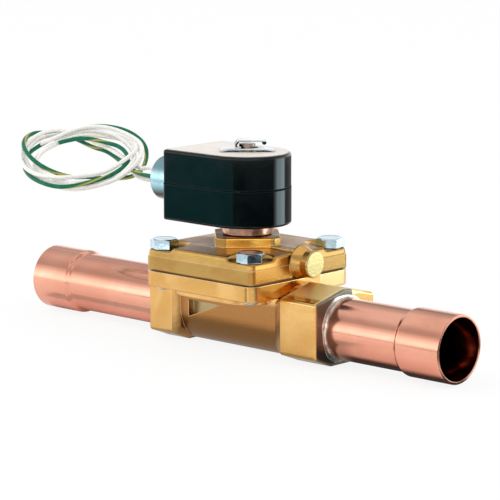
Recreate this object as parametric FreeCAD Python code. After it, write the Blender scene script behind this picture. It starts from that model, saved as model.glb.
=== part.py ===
"""Pilot-operated refrigeration solenoid valve with copper extension tubes.

Frame: +X runs with the flow, from the inlet tube to the outlet tube, +Y to the rear and +Z up
along the stem. The origin lies on the flat land under the forged body, below the stem axis.
All sizes are in millimetres.
"""
import FreeCAD, Part
import math
import os

# Copper tube ends, expanded for a 1-3/8 inch line
TUBE_OD = 34.9
TUBE_WALL = 1.6
SOCKET_BORE = 35.1
SOCKET_DEPTH = 28.0
SOCKET_TAPER = 3.5
SOCKET_LIP = 0.5
TUBE_SEAT_DEPTH = 12.0
INLET_REACH = 162.7
OUTLET_REACH = 153.9
BRAZE_HEIGHT = 3.4
BRAZE_LENGTH = 0.9
BRAZE_HOLLOW = 0.4

# Forged body, measured from the flow axis
FLOW_AXIS_Z = 20.0
INLET_NECK_END = 55.0
INLET_NECK_LENGTH = 18.4
INLET_NECK_BLEND = 3.0
OUTLET_NECK_END = 74.0
OUTLET_NECK_LENGTH = 25.8
OUTLET_NECK_BLEND = 8.0
NECK_WIDTH = 50.6
NECK_FLAT_TOP = 17.1
NECK_FLAT_BOTTOM = 14.4
NECK_ROOF = 23.2
NECK_LAND_WIDTH = 21.0
NECK_EDGE_RADIUS = 2.2
NECK_END_RADIUS = 1.6
BARREL_WIDTH = 41.0
PASSAGE_DIA = 25.0
FLANGE_SIDE = 84.8
FLANGE_CORNER_RADIUS = 7.2
FLANGE_THICKNESS = 9.1
FLANGE_EDGE_RADIUS = 0.8
STEP_SIDE = 70.8
STEP_CORNER_RADIUS = 20.0
STEP_DEPTH = 4.0
RECESS_START = 27.5
RECESS_LENGTH = 25.5
RECESS_HEIGHT = 10.0
RECESS_TOP = 6.0
RECESS_DEPTH = 4.5
BOWL_DIA = 54.0
BOWL_DEPTH = 9.6
PORT_DIA = 23.0
PORT_DEPTH = 27.0
SEAT_WALL = 2.0
SEAT_RISE = 2.0
RISER_DIA = 50.0
RISER_EDGE = 9.0
PASSAGE_WEB = 3.0

# Joint between body and bonnet
JOINT_HEIGHT = 24.6
GASKET_THICKNESS = 0.8
GASKET_INSET = 0.7
BOLT_SPACING = 67.2
BOLT_DIA = 9.5
BOLT_HOLE_DIA = 10.3
BOLT_HEX = 14.3
BOLT_HEAD_HEIGHT = 5.9
BOLT_LENGTH = 23.4
BOLT_CHAMFER = 0.7
BOLT_TURN = 10.0

# Forged bonnet
BONNET_SIDE = 82.8
BONNET_CORNER_RADIUS = 3.6
BONNET_WALL_HEIGHT = 8.0
BONNET_LEDGE = 0.4
BONNET_DRAFT = 0.6
BOLT_FLOOR_HEIGHT = 11.6
CROWN_HEIGHT = 13.8
CROWN_RISE = 0.8
CROWN_TOP_SIDE = 52.0
CROWN_EDGE_RADIUS = 1.6
BOLT_POCKET_DIA = 28.0
BOLT_POCKET_RADIUS = 2.5
POCKET_EDGE_RADIUS = 1.2
HUB_ACROSS = 37.0
HUB_CORNER_ACROSS = 46.8
HUB_HEIGHT = 5.5
HUB_EDGE_RADIUS = 0.6
HUB_CORNER_RADIUS = 1.2
SIDE_BOSS_DIA = 15.5
SIDE_BOSS_REACH = 52.0
SIDE_BOSS_HEIGHT = 8.0
SIDE_BOSS_FLARE = 2.4
SIDE_BOSS_NECK = 47.0
SIDE_BOSS_EDGE = 0.5
RIB_WIDTH = 9.0
RIB_RISE = 1.8
CYLINDER_DIA = 52.0
CYLINDER_DEPTH = 10.0

# Floating piston and its seat disc
PISTON_CLEARANCE = 0.3
PISTON_HEIGHT = 9.5
PISTON_FOOT_DIA = 32.0
PISTON_FOOT_HEIGHT = 2.0
PISTON_POCKET_DIA = 21.0
PISTON_POCKET_DEPTH = 5.5
PISTON_BLEED_DIA = 1.2
PISTON_BLEED_X = 18.0
RING_WIDTH = 2.4
RING_DEPTH = 2.6
RING_TOP = 1.0
RING_SPLIT = 1.0
SEAT_DISC_DIA = 29.0
SEAT_DISC_THICKNESS = 3.0
SCREW_DIA = 8.0
SCREW_DEPTH = 3.0
RETAINER_DIA = 18.0
RETAINER_THICKNESS = 1.8
RETAINER_HEX = 11.0
RETAINER_HEX_HEIGHT = 3.0

# Stem, pilot seat and plunger
STEM_OD = 14.2
STEM_WALL = 0.6
COLLAR_DIA = 28.8
COLLAR_HEIGHT = 5.7
COLLAR_EDGE = 0.6
SPIGOT_DIA = 22.0
SPIGOT_BORE_DEPTH = 5.0
SEAL_WIDTH = 2.0
SEAL_THICKNESS = 1.2
PILOT_SEAT_DIA = 8.0
PILOT_SEAT_DEPTH = 2.2
PILOT_SEAT_RISE = 2.4
PILOT_TIP_DIA = 3.4
PILOT_BORE = 1.8
PILOT_CHANNEL_DIA = 2.2
PILOT_CHANNEL_X = 33.0
BLEED_HOLE_DIA = 1.2
BLEED_HOLE_X = 7.0
PLUNGER_CLEARANCE = 0.25
PLUNGER_LENGTH = 20.0
PLUNGER_STROKE = 2.0
PLUNGER_SLOT_WIDTH = 2.2
PLUNGER_SLOT_DEPTH = 1.2
PLUNGER_SEAL_DIA = 5.0
PLUNGER_SEAL_LENGTH = 3.0
PLUNGER_SEAL_STAND = 0.4
PLUNGER_POCKET_DIA = 7.6
PLUNGER_POCKET_DEPTH = 9.0
STEM_RISE = 0.9
PLUG_HEAD_DIA = 9.4
PLUG_HEAD_HEIGHT = 1.5
PLUG_NECK_DIA = 7.0
PLUG_NECK_HEIGHT = 2.4
SHADING_RING_DIA = 10.6
SHADING_RING_WIDTH = 1.2
SHADING_RING_HEIGHT = 1.6

# Compression springs, with whole open turns
SPRING_GAP = 0.3
SPRING_TURN_GAP = 0.1
SPRING_STEPS = 20
MAIN_SPRING_DIA = 17.0
MAIN_SPRING_WIRE = 1.4
MAIN_SPRING_TURNS = 2
CORE_SPRING_DIA = 5.6
CORE_SPRING_WIRE = 0.8
CORE_SPRING_TURNS = 5

# Moulded coil
COIL_GAP = 0.4
COIL_WIDTH = 50.4
COIL_END = 43.1
COIL_HEIGHT = 40.9
COIL_EDGE_RADIUS = 1.4
COIL_CORNER_RADIUS = 1.5
MOULD_STEP = 0.15
MOULD_LINE_HEIGHT = 21.4
STEM_CLEARANCE = 0.3
LABEL_INSET = 1.6
LABEL_CORNER_RADIUS = 0.8
LABEL_THICKNESS = 0.5
BOBBIN_LENGTH = 30.0
BOBBIN_WALL = 1.2
BOBBIN_FLANGE_DIA = 38.0
BOBBIN_FLANGE = 1.5
WINDING_DIA = 36.0
YOKE_THICKNESS = 2.4
YOKE_WIDTH = 30.0
YOKE_BACK = 21.5
YOKE_FRONT = 17.0
FILL_GAP = 0.1

# Conduit hub, grommet and leads
CONDUIT_HEIGHT = 19.9
CONDUIT_DIA = 25.8
CONDUIT_REACH = 23.4
CONDUIT_BORE = 21.0
CONDUIT_EDGE = 0.8
CONDUIT_FOOT_DIA = 31.0
CONDUIT_FOOT = 2.5
CONDUIT_SINK = 4.6
GROMMET_LENGTH = 9.0
GROMMET_SINK = 8.5
LEAD_DIA = 2.6
LEAD_HOLE_RADIUS = 2.9
ARC_SHARE = 0.45
LOOP_CENTRE = (-127.0, -10.0, 98.5)
LOOP_DIA = 62.0
LOOP_BAND = 15.0
LOOP_THICKNESS = 10.0
LOOP_HEADING = 42.7
LOOP_TILT = 24.0

# Routes of the three leads from the grommet to the loop, each point as x, y, z
GREEN_ROUTE = ((-58.0, -2.9, 91.5), (-74.0, -2.9, 91.5), (-86.0, -5.6, 91.0), (-97.3, -9.9, 89.6))
WHITE_A_ROUTE = ((-58.0, 1.45, 94.01), (-73.0, 1.45, 94.01), (-85.0, 2.4, 93.8), (-97.5, 1.6, 93.4))
WHITE_B_ROUTE = ((-58.0, 1.45, 88.99), (-73.0, 1.45, 88.99), (-85.0, -0.4, 90.0), (-97.4, -4.9, 90.8))

# Retaining clip on top of the stem
CLIP_STRIP = 0.9
CLIP_WIDTH = 12.0
CLIP_HEADING = 45.0
CLIP_HALF_SPAN = 15.5
CLIP_SEAT_HALF = 6.0
CLIP_TAB_START = 5.8
CLIP_TAB_REACH = 9.4
CLIP_TAB_HEIGHT = 4.2
CLIP_SLOT_CLEARANCE = 0.3
CLIP_ROLL_DIA = 2.6

# Heights worked out from the sizes above
JOINT_Z = FLOW_AXIS_Z + JOINT_HEIGHT
FLANGE_Z = JOINT_Z - FLANGE_THICKNESS
STEP_Z = FLANGE_Z - STEP_DEPTH
BOWL_FLOOR_Z = JOINT_Z - BOWL_DEPTH
SEAT_Z = BOWL_FLOOR_Z + SEAT_RISE
BONNET_Z = JOINT_Z + GASKET_THICKNESS
CYLINDER_TOP_Z = BONNET_Z + CYLINDER_DEPTH
BOLT_FLOOR_Z = BONNET_Z + BOLT_FLOOR_HEIGHT
CROWN_Z = BONNET_Z + CROWN_HEIGHT
HUB_Z = CROWN_Z + CROWN_RISE + HUB_HEIGHT
SPIGOT_FLOOR_Z = HUB_Z - SPIGOT_BORE_DEPTH
SPIGOT_Z = SPIGOT_FLOOR_Z + SEAL_THICKNESS
PILOT_TIP_Z = SPIGOT_FLOOR_Z + PILOT_SEAT_RISE
CHANNEL_Z = SPIGOT_FLOOR_Z - PILOT_SEAT_DEPTH
PLUNGER_Z = PILOT_TIP_Z + PLUNGER_SEAL_STAND
PLUG_Z = PLUNGER_Z + PLUNGER_LENGTH + PLUNGER_STROKE
PISTON_FOOT_Z = SEAT_Z + SEAT_DISC_THICKNESS
PISTON_TOP_Z = PISTON_FOOT_Z + PISTON_HEIGHT
COIL_Z = HUB_Z + COLLAR_HEIGHT + COIL_GAP
COIL_TOP_Z = COIL_Z + COIL_HEIGHT
LABEL_TOP_Z = COIL_TOP_Z + LABEL_THICKNESS
STEM_TOP_Z = COIL_TOP_Z + STEM_RISE
CONDUIT_Z = COIL_Z + CONDUIT_HEIGHT

# Widths shared by pieces that fit each other
STEM_BORE = STEM_OD - 2 * STEM_WALL
COIL_BORE = STEM_OD + 2 * STEM_CLEARANCE
PLUNGER_DIA = STEM_BORE - 2 * PLUNGER_CLEARANCE
PISTON_DIA = CYLINDER_DIA - 2 * PISTON_CLEARANCE
SOCKET_OD = SOCKET_BORE + 2 * TUBE_WALL
BOLT_PLACES = [(sx * BOLT_SPACING / 2, sy * BOLT_SPACING / 2) for sx in (-1, 1) for sy in (-1, 1)]

X_AXIS = FreeCAD.Vector(1, 0, 0)
Y_AXIS = FreeCAD.Vector(0, 1, 0)
Z_AXIS = FreeCAD.Vector(0, 0, 1)

# How near two places must be to count as the same
SAME = 1e-6


def vec(x, y, z):
    return FreeCAD.Vector(x, y, z)


def rod(dia, z0, z1, x=0.0, y=0.0):
    """Upright cylinder between two heights."""
    return Part.makeCylinder(dia / 2, z1 - z0, vec(x, y, z0), Z_AXIS)


def bar(dia, x0, x1, z=FLOW_AXIS_Z):
    """Cylinder along the flow, in the valve's middle plane."""
    return Part.makeCylinder(dia / 2, x1 - x0, vec(x0, 0, z), X_AXIS)


def tube(outer, inner, z0, z1):
    return rod(outer, z0, z1).cut(rod(inner, z0, z1))


def slab(x0, x1, y0, y1, z0, z1):
    return Part.makeBox(x1 - x0, y1 - y0, z1 - z0, vec(x0, y0, z0))


def polygon_face(points):
    return Part.Face(Part.makePolygon(points + points[:1]))


def turned(profile):
    """Solid turned about Z from (radius, height) points."""
    face = polygon_face([vec(r, 0, z) for r, z in profile])
    return face.revolve(vec(0, 0, 0), Z_AXIS, 360)


def hexagon(across, z0, z1, x=0.0, y=0.0, turn=0.0):
    corner = across / math.sqrt(3)
    angles = [math.radians(turn + 60 * k) for k in range(6)]
    points = [vec(x + corner * math.cos(a), y + corner * math.sin(a), z0) for a in angles]
    return polygon_face(points).extrude(vec(0, 0, z1 - z0))


def rounded_square(side, radius, z):
    """Closed wire of a square with round corners at one height."""
    half, inner = side / 2, side / 2 - radius
    edges = []
    for k in range(4):
        turn = FreeCAD.Rotation(Z_AXIS, 90 * k)
        start = turn.multVec(vec(-inner, -half, z))
        end = turn.multVec(vec(inner, -half, z))
        diagonal = inner + radius / math.sqrt(2)
        middle = turn.multVec(vec(diagonal, -diagonal, z))
        after = turn.multVec(vec(half, -inner, z))
        edges.append(Part.LineSegment(start, end).toShape())
        edges.append(Part.Arc(end, middle, after).toShape())
    return Part.Wire(edges)


def square_plate(side, radius, z0, z1):
    return Part.Face(rounded_square(side, radius, z0)).extrude(vec(0, 0, z1 - z0))


def level_edges(shape, z):
    """Edges that lie at one height."""
    return [e for e in shape.Edges if e.BoundBox.ZMin > z - SAME and e.BoundBox.ZMax < z + SAME]


def bolt_holes(z0, z1):
    return [rod(BOLT_HOLE_DIA, z0, z1, x, y) for x, y in BOLT_PLACES]


def spring(dia, wire, turns, z0, z1):
    """Compression spring between two heights, with a closed turn at each end."""
    closed_pitch = wire + SPRING_TURN_GAP
    open_pitch = (z1 - z0 - wire - 2 * closed_pitch) / turns
    heights = [z0 + wire / 2]
    for pitch in [closed_pitch] + [open_pitch] * turns + [closed_pitch]:
        start = heights[-1]
        heights += [start + pitch * (k + 1) / SPRING_STEPS for k in range(SPRING_STEPS)]
    sections = []
    for k, height in enumerate(heights):
        section = Part.Wire(Part.makeCircle(wire / 2, vec(dia / 2, 0, height), Y_AXIS))
        section.rotate(vec(0, 0, 0), Z_AXIS, 360 * k / SPRING_STEPS)
        sections.append(section)
    return Part.makeLoft(sections, True, True)


# Forged body

def neck_face(x):
    """Section of an end neck: upright flats, a low roof and a flat land underneath."""
    half, land = NECK_WIDTH / 2, NECK_LAND_WIDTH / 2
    bottom, top = FLOW_AXIS_Z - NECK_FLAT_BOTTOM, FLOW_AXIS_Z + NECK_FLAT_TOP
    outline = [(-land, 0), (land, 0), (half, bottom), (half, top),
               (0, FLOW_AXIS_Z + NECK_ROOF), (-half, top), (-half, bottom)]
    return polygon_face([vec(x, y, z) for y, z in outline])


def edges_along_x(shape):
    return [e for e in shape.Edges
            if abs(abs(e.tangentAt(e.FirstParameter).x) - 1) < SAME]


def end_neck(outer_x, length, blend):
    """Neck that holds one tube, sloping down to the barrel on its inner side."""
    side = math.copysign(1, outer_x)
    inner_x = outer_x - side * length
    neck = neck_face(outer_x).extrude(vec(inner_x - outer_x, 0, 0))
    neck = neck.makeFillet(NECK_EDGE_RADIUS, edges_along_x(neck))
    mouth = [e for e in neck.Edges if abs(e.CenterOfMass.x - outer_x) < SAME]
    neck = neck.makeFillet(NECK_END_RADIUS, mouth)
    rim = [f for f in neck.Faces if abs(f.CenterOfMass.x - inner_x) < SAME][0].OuterWire
    narrow = rim.scaled(BARREL_WIDTH / NECK_WIDTH, vec(inner_x, 0, FLOW_AXIS_Z))
    narrow.translate(vec(-side * blend, 0, 0))
    return neck.fuse(Part.makeLoft([rim, narrow], True, True))


def barrel():
    """Middle of the body: round below, upright beside the port and flat underneath."""
    x0 = INLET_NECK_LENGTH - INLET_NECK_END
    x1 = OUTLET_NECK_END - OUTLET_NECK_LENGTH
    half = BARREL_WIDTH / 2
    upper = slab(x0, x1, -half, half, FLOW_AXIS_Z, FLANGE_Z)
    below = slab(x0, x1, -half, half, -half, 0)
    return bar(BARREL_WIDTH, x0, x1).fuse(upper).cut(below)


def side_recess(side):
    """Three-cornered hollow under the flange, beside the inlet passage."""
    top = FLOW_AXIS_Z + RECESS_TOP
    outer = side * BARREL_WIDTH / 2
    corners = [(-RECESS_START, top), (-RECESS_START + RECESS_LENGTH, top),
               (-RECESS_START, top - RECESS_HEIGHT)]
    face = polygon_face([vec(x, outer, z) for x, z in corners])
    return face.extrude(vec(0, -side * RECESS_DEPTH, 0))


def flange():
    plate = square_plate(FLANGE_SIDE, FLANGE_CORNER_RADIUS, FLANGE_Z, JOINT_Z)
    plate = plate.makeFillet(FLANGE_EDGE_RADIUS, level_edges(plate, FLANGE_Z))
    return plate.fuse(square_plate(STEP_SIDE, STEP_CORNER_RADIUS, STEP_Z, FLANGE_Z))


def inlet_way():
    """Tube seat, inlet passage and the riser up into the bowl round the seat."""
    wall = PORT_DIA / 2 + SEAT_WALL
    way = bar(TUBE_OD, -INLET_NECK_END, TUBE_SEAT_DEPTH - INLET_NECK_END)
    way = way.fuse(bar(PASSAGE_DIA, -INLET_NECK_END, -wall - PASSAGE_WEB))
    riser = tube(RISER_DIA, 2 * wall, FLOW_AXIS_Z, BOWL_FLOOR_Z)
    half = PASSAGE_DIA / 2
    window = slab(-RISER_DIA / 2, -RISER_EDGE, -half, half, FLOW_AXIS_Z, BOWL_FLOOR_Z)
    return way.fuse(riser.common(window))


def outlet_way():
    """Port under the seat, outlet passage and tube seat."""
    way = rod(PORT_DIA, SEAT_Z - PORT_DEPTH, SEAT_Z)
    way = way.fuse(bar(PASSAGE_DIA, 0, OUTLET_NECK_END))
    return way.fuse(bar(TUBE_OD, OUTLET_NECK_END - TUBE_SEAT_DEPTH, OUTLET_NECK_END))


def make_valve_body():
    body = barrel().fuse([flange(),
                          end_neck(-INLET_NECK_END, INLET_NECK_LENGTH, INLET_NECK_BLEND),
                          end_neck(OUTLET_NECK_END, OUTLET_NECK_LENGTH, OUTLET_NECK_BLEND)])
    bowl = rod(BOWL_DIA, BOWL_FLOOR_Z, JOINT_Z)
    bowl = bowl.cut(rod(PORT_DIA + 2 * SEAT_WALL, BOWL_FLOOR_Z, SEAT_Z))
    pilot = rod(PILOT_CHANNEL_DIA, FLOW_AXIS_Z, JOINT_Z, PILOT_CHANNEL_X)
    body = body.cut([bowl, inlet_way(), outlet_way(), pilot, side_recess(-1), side_recess(1)])
    return body.cut(bolt_holes(STEP_Z, JOINT_Z)).removeSplitter()


# Tubes and their brazed joints

def straight(start, end):
    """Straight edge of a turned profile between two (radius, height) points."""
    return Part.LineSegment(vec(start[0], 0, start[1]), vec(end[0], 0, end[1])).toShape()


def s_bend(start, end):
    """Two equal arcs that ease a wall from one radius to another, in line with it at both ends."""
    run, rise = (end[1] - start[1]) / 2, (end[0] - start[0]) / 2
    half_turn = math.atan2(abs(rise), abs(run))
    radius = math.hypot(run, rise) / 2 / math.sin(half_turn)
    aside = math.copysign(radius * (1 - math.cos(half_turn)), rise)
    along = math.copysign(radius * math.sin(half_turn), run)
    first, last = vec(start[0], 0, start[1]), vec(end[0], 0, end[1])
    middle, bow = (first + last) / 2, vec(aside, 0, along)
    return [Part.Arc(first, first + bow, middle).toShape(), Part.Arc(middle, last - bow, last).toShape()]


def make_tube(end_x, reach):
    """Copper tube from its seat in the neck out to an expanded socket."""
    side = math.copysign(1, end_x)
    start = abs(end_x) - TUBE_SEAT_DEPTH
    outer, inner = TUBE_OD / 2, TUBE_OD / 2 - TUBE_WALL
    wide, bore = SOCKET_OD / 2, SOCKET_BORE / 2
    shoulder = reach - SOCKET_DEPTH
    taper = shoulder - SOCKET_TAPER
    lip = reach - SOCKET_LIP
    lip_inset = SOCKET_LIP * (1 - math.sqrt(0.5))
    lip_arc = Part.Arc(vec(wide, 0, lip), vec(wide - lip_inset, 0, reach - lip_inset),
                       vec(wide - SOCKET_LIP, 0, reach))
    wall = [straight((inner, start), (outer, start)), straight((outer, start), (outer, taper))]
    wall += s_bend((outer, taper), (wide, shoulder))
    wall += [straight((wide, shoulder), (wide, lip)), lip_arc.toShape(),
             straight((wide - SOCKET_LIP, reach), (bore, reach)),
             straight((bore, reach), (bore, shoulder))]
    wall += s_bend((bore, shoulder), (inner, taper))
    wall.append(straight((inner, taper), (inner, start)))
    pipe = Part.Face(Part.Wire(wall)).revolve(vec(0, 0, 0), Z_AXIS, 360)
    pipe.rotate(vec(0, 0, 0), Y_AXIS, side * 90)
    pipe.translate(vec(0, 0, FLOW_AXIS_Z))
    return pipe


def make_braze_ring(end_x):
    """Fillet of brazing alloy where a tube enters its neck, held within the neck's flat end."""
    side = math.copysign(1, end_x)
    start = abs(end_x)
    root = TUBE_OD / 2
    corner = vec(root, 0, start)
    foot = vec(root + BRAZE_HEIGHT, 0, start)
    crest = vec(root, 0, start + BRAZE_LENGTH)
    dip = vec(root + BRAZE_HEIGHT * BRAZE_HOLLOW, 0, start + BRAZE_LENGTH * BRAZE_HOLLOW)
    wire = Part.Wire([Part.LineSegment(corner, foot).toShape(), Part.Arc(foot, dip, crest).toShape(),
                      Part.LineSegment(crest, corner).toShape()])
    ring = Part.Face(wire).revolve(vec(0, 0, 0), Z_AXIS, 360)
    ring.rotate(vec(0, 0, 0), Y_AXIS, side * 90)
    ring.translate(vec(0, 0, FLOW_AXIS_Z))
    reach = abs(end_x) + BRAZE_LENGTH
    return ring.cut(slab(-reach, reach, -SOCKET_OD, SOCKET_OD, -SOCKET_OD, NECK_END_RADIUS))


# Bonnet, gasket and bolts

def bolt_pocket(turn):
    """Round pocket about one bolt head, open at the bonnet's corner."""
    reach, half = BOLT_SPACING / math.sqrt(2), BOLT_POCKET_DIA / 2
    pocket = rod(BOLT_POCKET_DIA, BOLT_FLOOR_Z, HUB_Z, reach)
    pocket = pocket.fuse(slab(reach, BONNET_SIDE, -half, half, BOLT_FLOOR_Z, HUB_Z)).removeSplitter()
    pocket = pocket.makeFillet(BOLT_POCKET_RADIUS, level_edges(pocket, BOLT_FLOOR_Z))
    pocket.rotate(vec(0, 0, 0), Z_AXIS, turn)
    return pocket


def bonnet_plate():
    """Square plate with a ledge, drafted upper sides and a low crown."""
    ledge = BONNET_SIDE - 2 * BONNET_LEDGE
    drafted = ledge - 2 * BONNET_DRAFT
    corner = BONNET_CORNER_RADIUS
    wall_z = BONNET_Z + BONNET_WALL_HEIGHT
    base = square_plate(BONNET_SIDE, corner, BONNET_Z, wall_z)
    upper = Part.makeLoft([rounded_square(ledge, corner, wall_z),
                           rounded_square(drafted, corner, CROWN_Z)], True, True)
    crown = Part.makeLoft([rounded_square(drafted, corner, CROWN_Z),
                           rounded_square(CROWN_TOP_SIDE, corner, CROWN_Z + CROWN_RISE)], True, True)
    plate = base.fuse([upper, crown])
    return plate.makeFillet(CROWN_EDGE_RADIUS, level_edges(plate, CROWN_Z))


def hub():
    """Eight-sided hub whose long sides face the corners of the bonnet."""
    half, corner = HUB_ACROSS / 2, HUB_CORNER_ACROSS / 2
    turned_square = slab(-half, half, -half, half, BOLT_FLOOR_Z, HUB_Z)
    turned_square.rotate(vec(0, 0, 0), Z_AXIS, 45)
    block = turned_square.common(slab(-corner, corner, -corner, corner, BOLT_FLOOR_Z, HUB_Z))
    upright = [e for e in block.Edges if abs(e.tangentAt(e.FirstParameter).z) > 1 - SAME]
    block = block.makeFillet(HUB_CORNER_RADIUS, upright)
    return block.makeFillet(HUB_EDGE_RADIUS, level_edges(block, HUB_Z))


def side_boss():
    """Round boss that faces the outlet, with a machined end and a rib up to the hub."""
    z = BONNET_Z + SIDE_BOSS_HEIGHT
    start = CYLINDER_DIA / 2
    boss = bar(SIDE_BOSS_DIA, start, SIDE_BOSS_REACH, z)
    boss = boss.makeChamfer(SIDE_BOSS_EDGE, [e for e in boss.Edges if e.BoundBox.XMin > start + SAME])
    flare = Part.makeCone(SIDE_BOSS_DIA / 2 + SIDE_BOSS_FLARE, SIDE_BOSS_DIA / 2,
                          SIDE_BOSS_NECK - BONNET_SIDE / 2, vec(BONNET_SIDE / 2, 0, z), X_AXIS)
    rib = slab(0, BONNET_SIDE / 2, -RIB_WIDTH / 2, RIB_WIDTH / 2, z, CROWN_Z + RIB_RISE)
    reach = SIDE_BOSS_REACH
    below = slab(0, reach, -reach, reach, BONNET_Z - reach, BONNET_Z)
    return boss.fuse([flare, rib]).cut(below)


def pilot_ways():
    """Pilot channel to the outlet and bleed hole from the chamber above the piston."""
    across = bar(PILOT_CHANNEL_DIA, 0, PILOT_CHANNEL_X, CHANNEL_Z)
    down = rod(PILOT_CHANNEL_DIA, BONNET_Z, CHANNEL_Z, PILOT_CHANNEL_X)
    seat = rod(PILOT_SEAT_DIA, CHANNEL_Z, SPIGOT_FLOOR_Z)
    bleed = rod(BLEED_HOLE_DIA, CYLINDER_TOP_Z, SPIGOT_FLOOR_Z, -BLEED_HOLE_X)
    return [across, down, seat, bleed]


def pocket_lips(plate):
    """Edges where the pockets' floors meet the outside of the bonnet."""
    edge = BONNET_SIDE / 2 - BONNET_LEDGE - BONNET_DRAFT - BONNET_CORNER_RADIUS
    return [e for e in level_edges(plate, BOLT_FLOOR_Z)
            if max(abs(e.CenterOfMass.x), abs(e.CenterOfMass.y)) > edge]


def make_bonnet():
    pockets = [bolt_pocket(45 + 90 * k) for k in range(4)]
    plate = bonnet_plate().cut(pockets)
    plate = plate.makeFillet(POCKET_EDGE_RADIUS, pocket_lips(plate))
    bonnet = plate.fuse([hub(), side_boss()])
    cylinder = rod(CYLINDER_DIA, BONNET_Z, CYLINDER_TOP_Z)
    spigot = rod(SPIGOT_DIA, SPIGOT_FLOOR_Z, HUB_Z)
    bonnet = bonnet.cut([cylinder, spigot] + pilot_ways() + bolt_holes(BONNET_Z, HUB_Z))
    return bonnet.removeSplitter()


def make_gasket():
    sheet = square_plate(BONNET_SIDE - 2 * GASKET_INSET, FLANGE_CORNER_RADIUS, JOINT_Z, BONNET_Z)
    bowl = rod(BOWL_DIA, JOINT_Z, BONNET_Z)
    pilot = rod(PILOT_CHANNEL_DIA, JOINT_Z, BONNET_Z, PILOT_CHANNEL_X)
    return sheet.cut([bowl, pilot] + bolt_holes(JOINT_Z, BONNET_Z))


def make_bolt(x, y):
    """Hexagon head screw with its head's corners turned off."""
    top = BOLT_FLOOR_Z + BOLT_HEAD_HEIGHT
    head = hexagon(BOLT_HEX, BOLT_FLOOR_Z, top)
    corner = BOLT_HEX / math.sqrt(3)
    cap = turned([(0, BOLT_FLOOR_Z), (corner + BOLT_CHAMFER, BOLT_FLOOR_Z),
                  (corner + BOLT_CHAMFER, top - 2 * BOLT_CHAMFER), (BOLT_HEX / 2 - BOLT_CHAMFER, top),
                  (0, top)])
    tip = BOLT_FLOOR_Z - BOLT_LENGTH
    radius = BOLT_DIA / 2
    shank = turned([(0, tip), (radius - BOLT_CHAMFER, tip), (radius, tip + BOLT_CHAMFER),
                    (radius, BOLT_FLOOR_Z), (0, BOLT_FLOOR_Z)])
    bolt = head.common(cap).fuse(shank).removeSplitter()
    bolt.rotate(vec(0, 0, 0), Z_AXIS, BOLT_TURN)
    bolt.translate(vec(x, y, 0))
    return bolt


def make_bolts():
    return Part.makeCompound([make_bolt(x, y) for x, y in BOLT_PLACES])


# Floating piston

def ring_span():
    top = PISTON_TOP_Z - RING_TOP
    return top - RING_WIDTH, top


def make_piston():
    waist = PISTON_FOOT_Z + PISTON_FOOT_HEIGHT
    body = rod(PISTON_FOOT_DIA, PISTON_FOOT_Z, waist).fuse(rod(PISTON_DIA, waist, PISTON_TOP_Z))
    groove = tube(PISTON_DIA, PISTON_DIA - 2 * RING_DEPTH, *ring_span())
    pocket = rod(PISTON_POCKET_DIA, PISTON_TOP_Z - PISTON_POCKET_DEPTH, PISTON_TOP_Z)
    thread = rod(SCREW_DIA, PISTON_FOOT_Z, PISTON_FOOT_Z + SCREW_DEPTH)
    bleed = rod(PISTON_BLEED_DIA, waist, PISTON_TOP_Z, PISTON_BLEED_X)
    return body.cut([groove, pocket, thread, bleed])


def make_piston_ring():
    """Split ring that seals the piston in the bonnet's cylinder."""
    bottom, top = ring_span()
    ring = tube(PISTON_DIA, PISTON_DIA - 2 * RING_DEPTH, bottom, top)
    split = slab(-PISTON_DIA, 0, -RING_SPLIT / 2, RING_SPLIT / 2, bottom, top)
    return ring.cut(split)


def make_seat_disc():
    return tube(SEAT_DISC_DIA, SCREW_DIA, SEAT_Z, PISTON_FOOT_Z)


def make_retainer():
    """Screw with a broad collar that clamps the seat disc to the piston."""
    collar = SEAT_Z - RETAINER_THICKNESS
    plate = rod(RETAINER_DIA, collar, SEAT_Z)
    stud = rod(SCREW_DIA, SEAT_Z, PISTON_FOOT_Z + SCREW_DEPTH)
    head = hexagon(RETAINER_HEX, collar - RETAINER_HEX_HEIGHT, collar)
    return plate.fuse([stud, head])


def make_main_spring():
    floor = PISTON_TOP_Z - PISTON_POCKET_DEPTH
    return spring(MAIN_SPRING_DIA, MAIN_SPRING_WIRE, MAIN_SPRING_TURNS,
                  floor + SPRING_GAP, CYLINDER_TOP_Z - SPRING_GAP)


# Stem and pilot

def make_pilot_seat():
    """Small nozzle in the hub that the plunger shuts."""
    base, tip, bore = PILOT_SEAT_DIA / 2, PILOT_TIP_DIA / 2, PILOT_BORE / 2
    return turned([(bore, CHANNEL_Z), (base, CHANNEL_Z), (base, SPIGOT_FLOOR_Z),
                   (tip, PILOT_TIP_Z), (bore, PILOT_TIP_Z)])


def make_collar():
    """Round collar that screws into the hub and carries the stem tube and the coil."""
    top = HUB_Z + COLLAR_HEIGHT
    bore, spigot, rim = STEM_OD / 2, SPIGOT_DIA / 2, COLLAR_DIA / 2
    return turned([(bore, SPIGOT_Z), (spigot, SPIGOT_Z), (spigot, HUB_Z), (rim - COLLAR_EDGE, HUB_Z),
                   (rim, HUB_Z + COLLAR_EDGE), (rim, top - COLLAR_EDGE), (rim - COLLAR_EDGE, top),
                   (bore, top)])


def make_collar_seal():
    return tube(SPIGOT_DIA, SPIGOT_DIA - 2 * SEAL_WIDTH, SPIGOT_FLOOR_Z, SPIGOT_Z)


def make_stem_tube():
    return tube(STEM_OD, STEM_BORE, SPIGOT_Z, STEM_TOP_Z)


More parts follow.
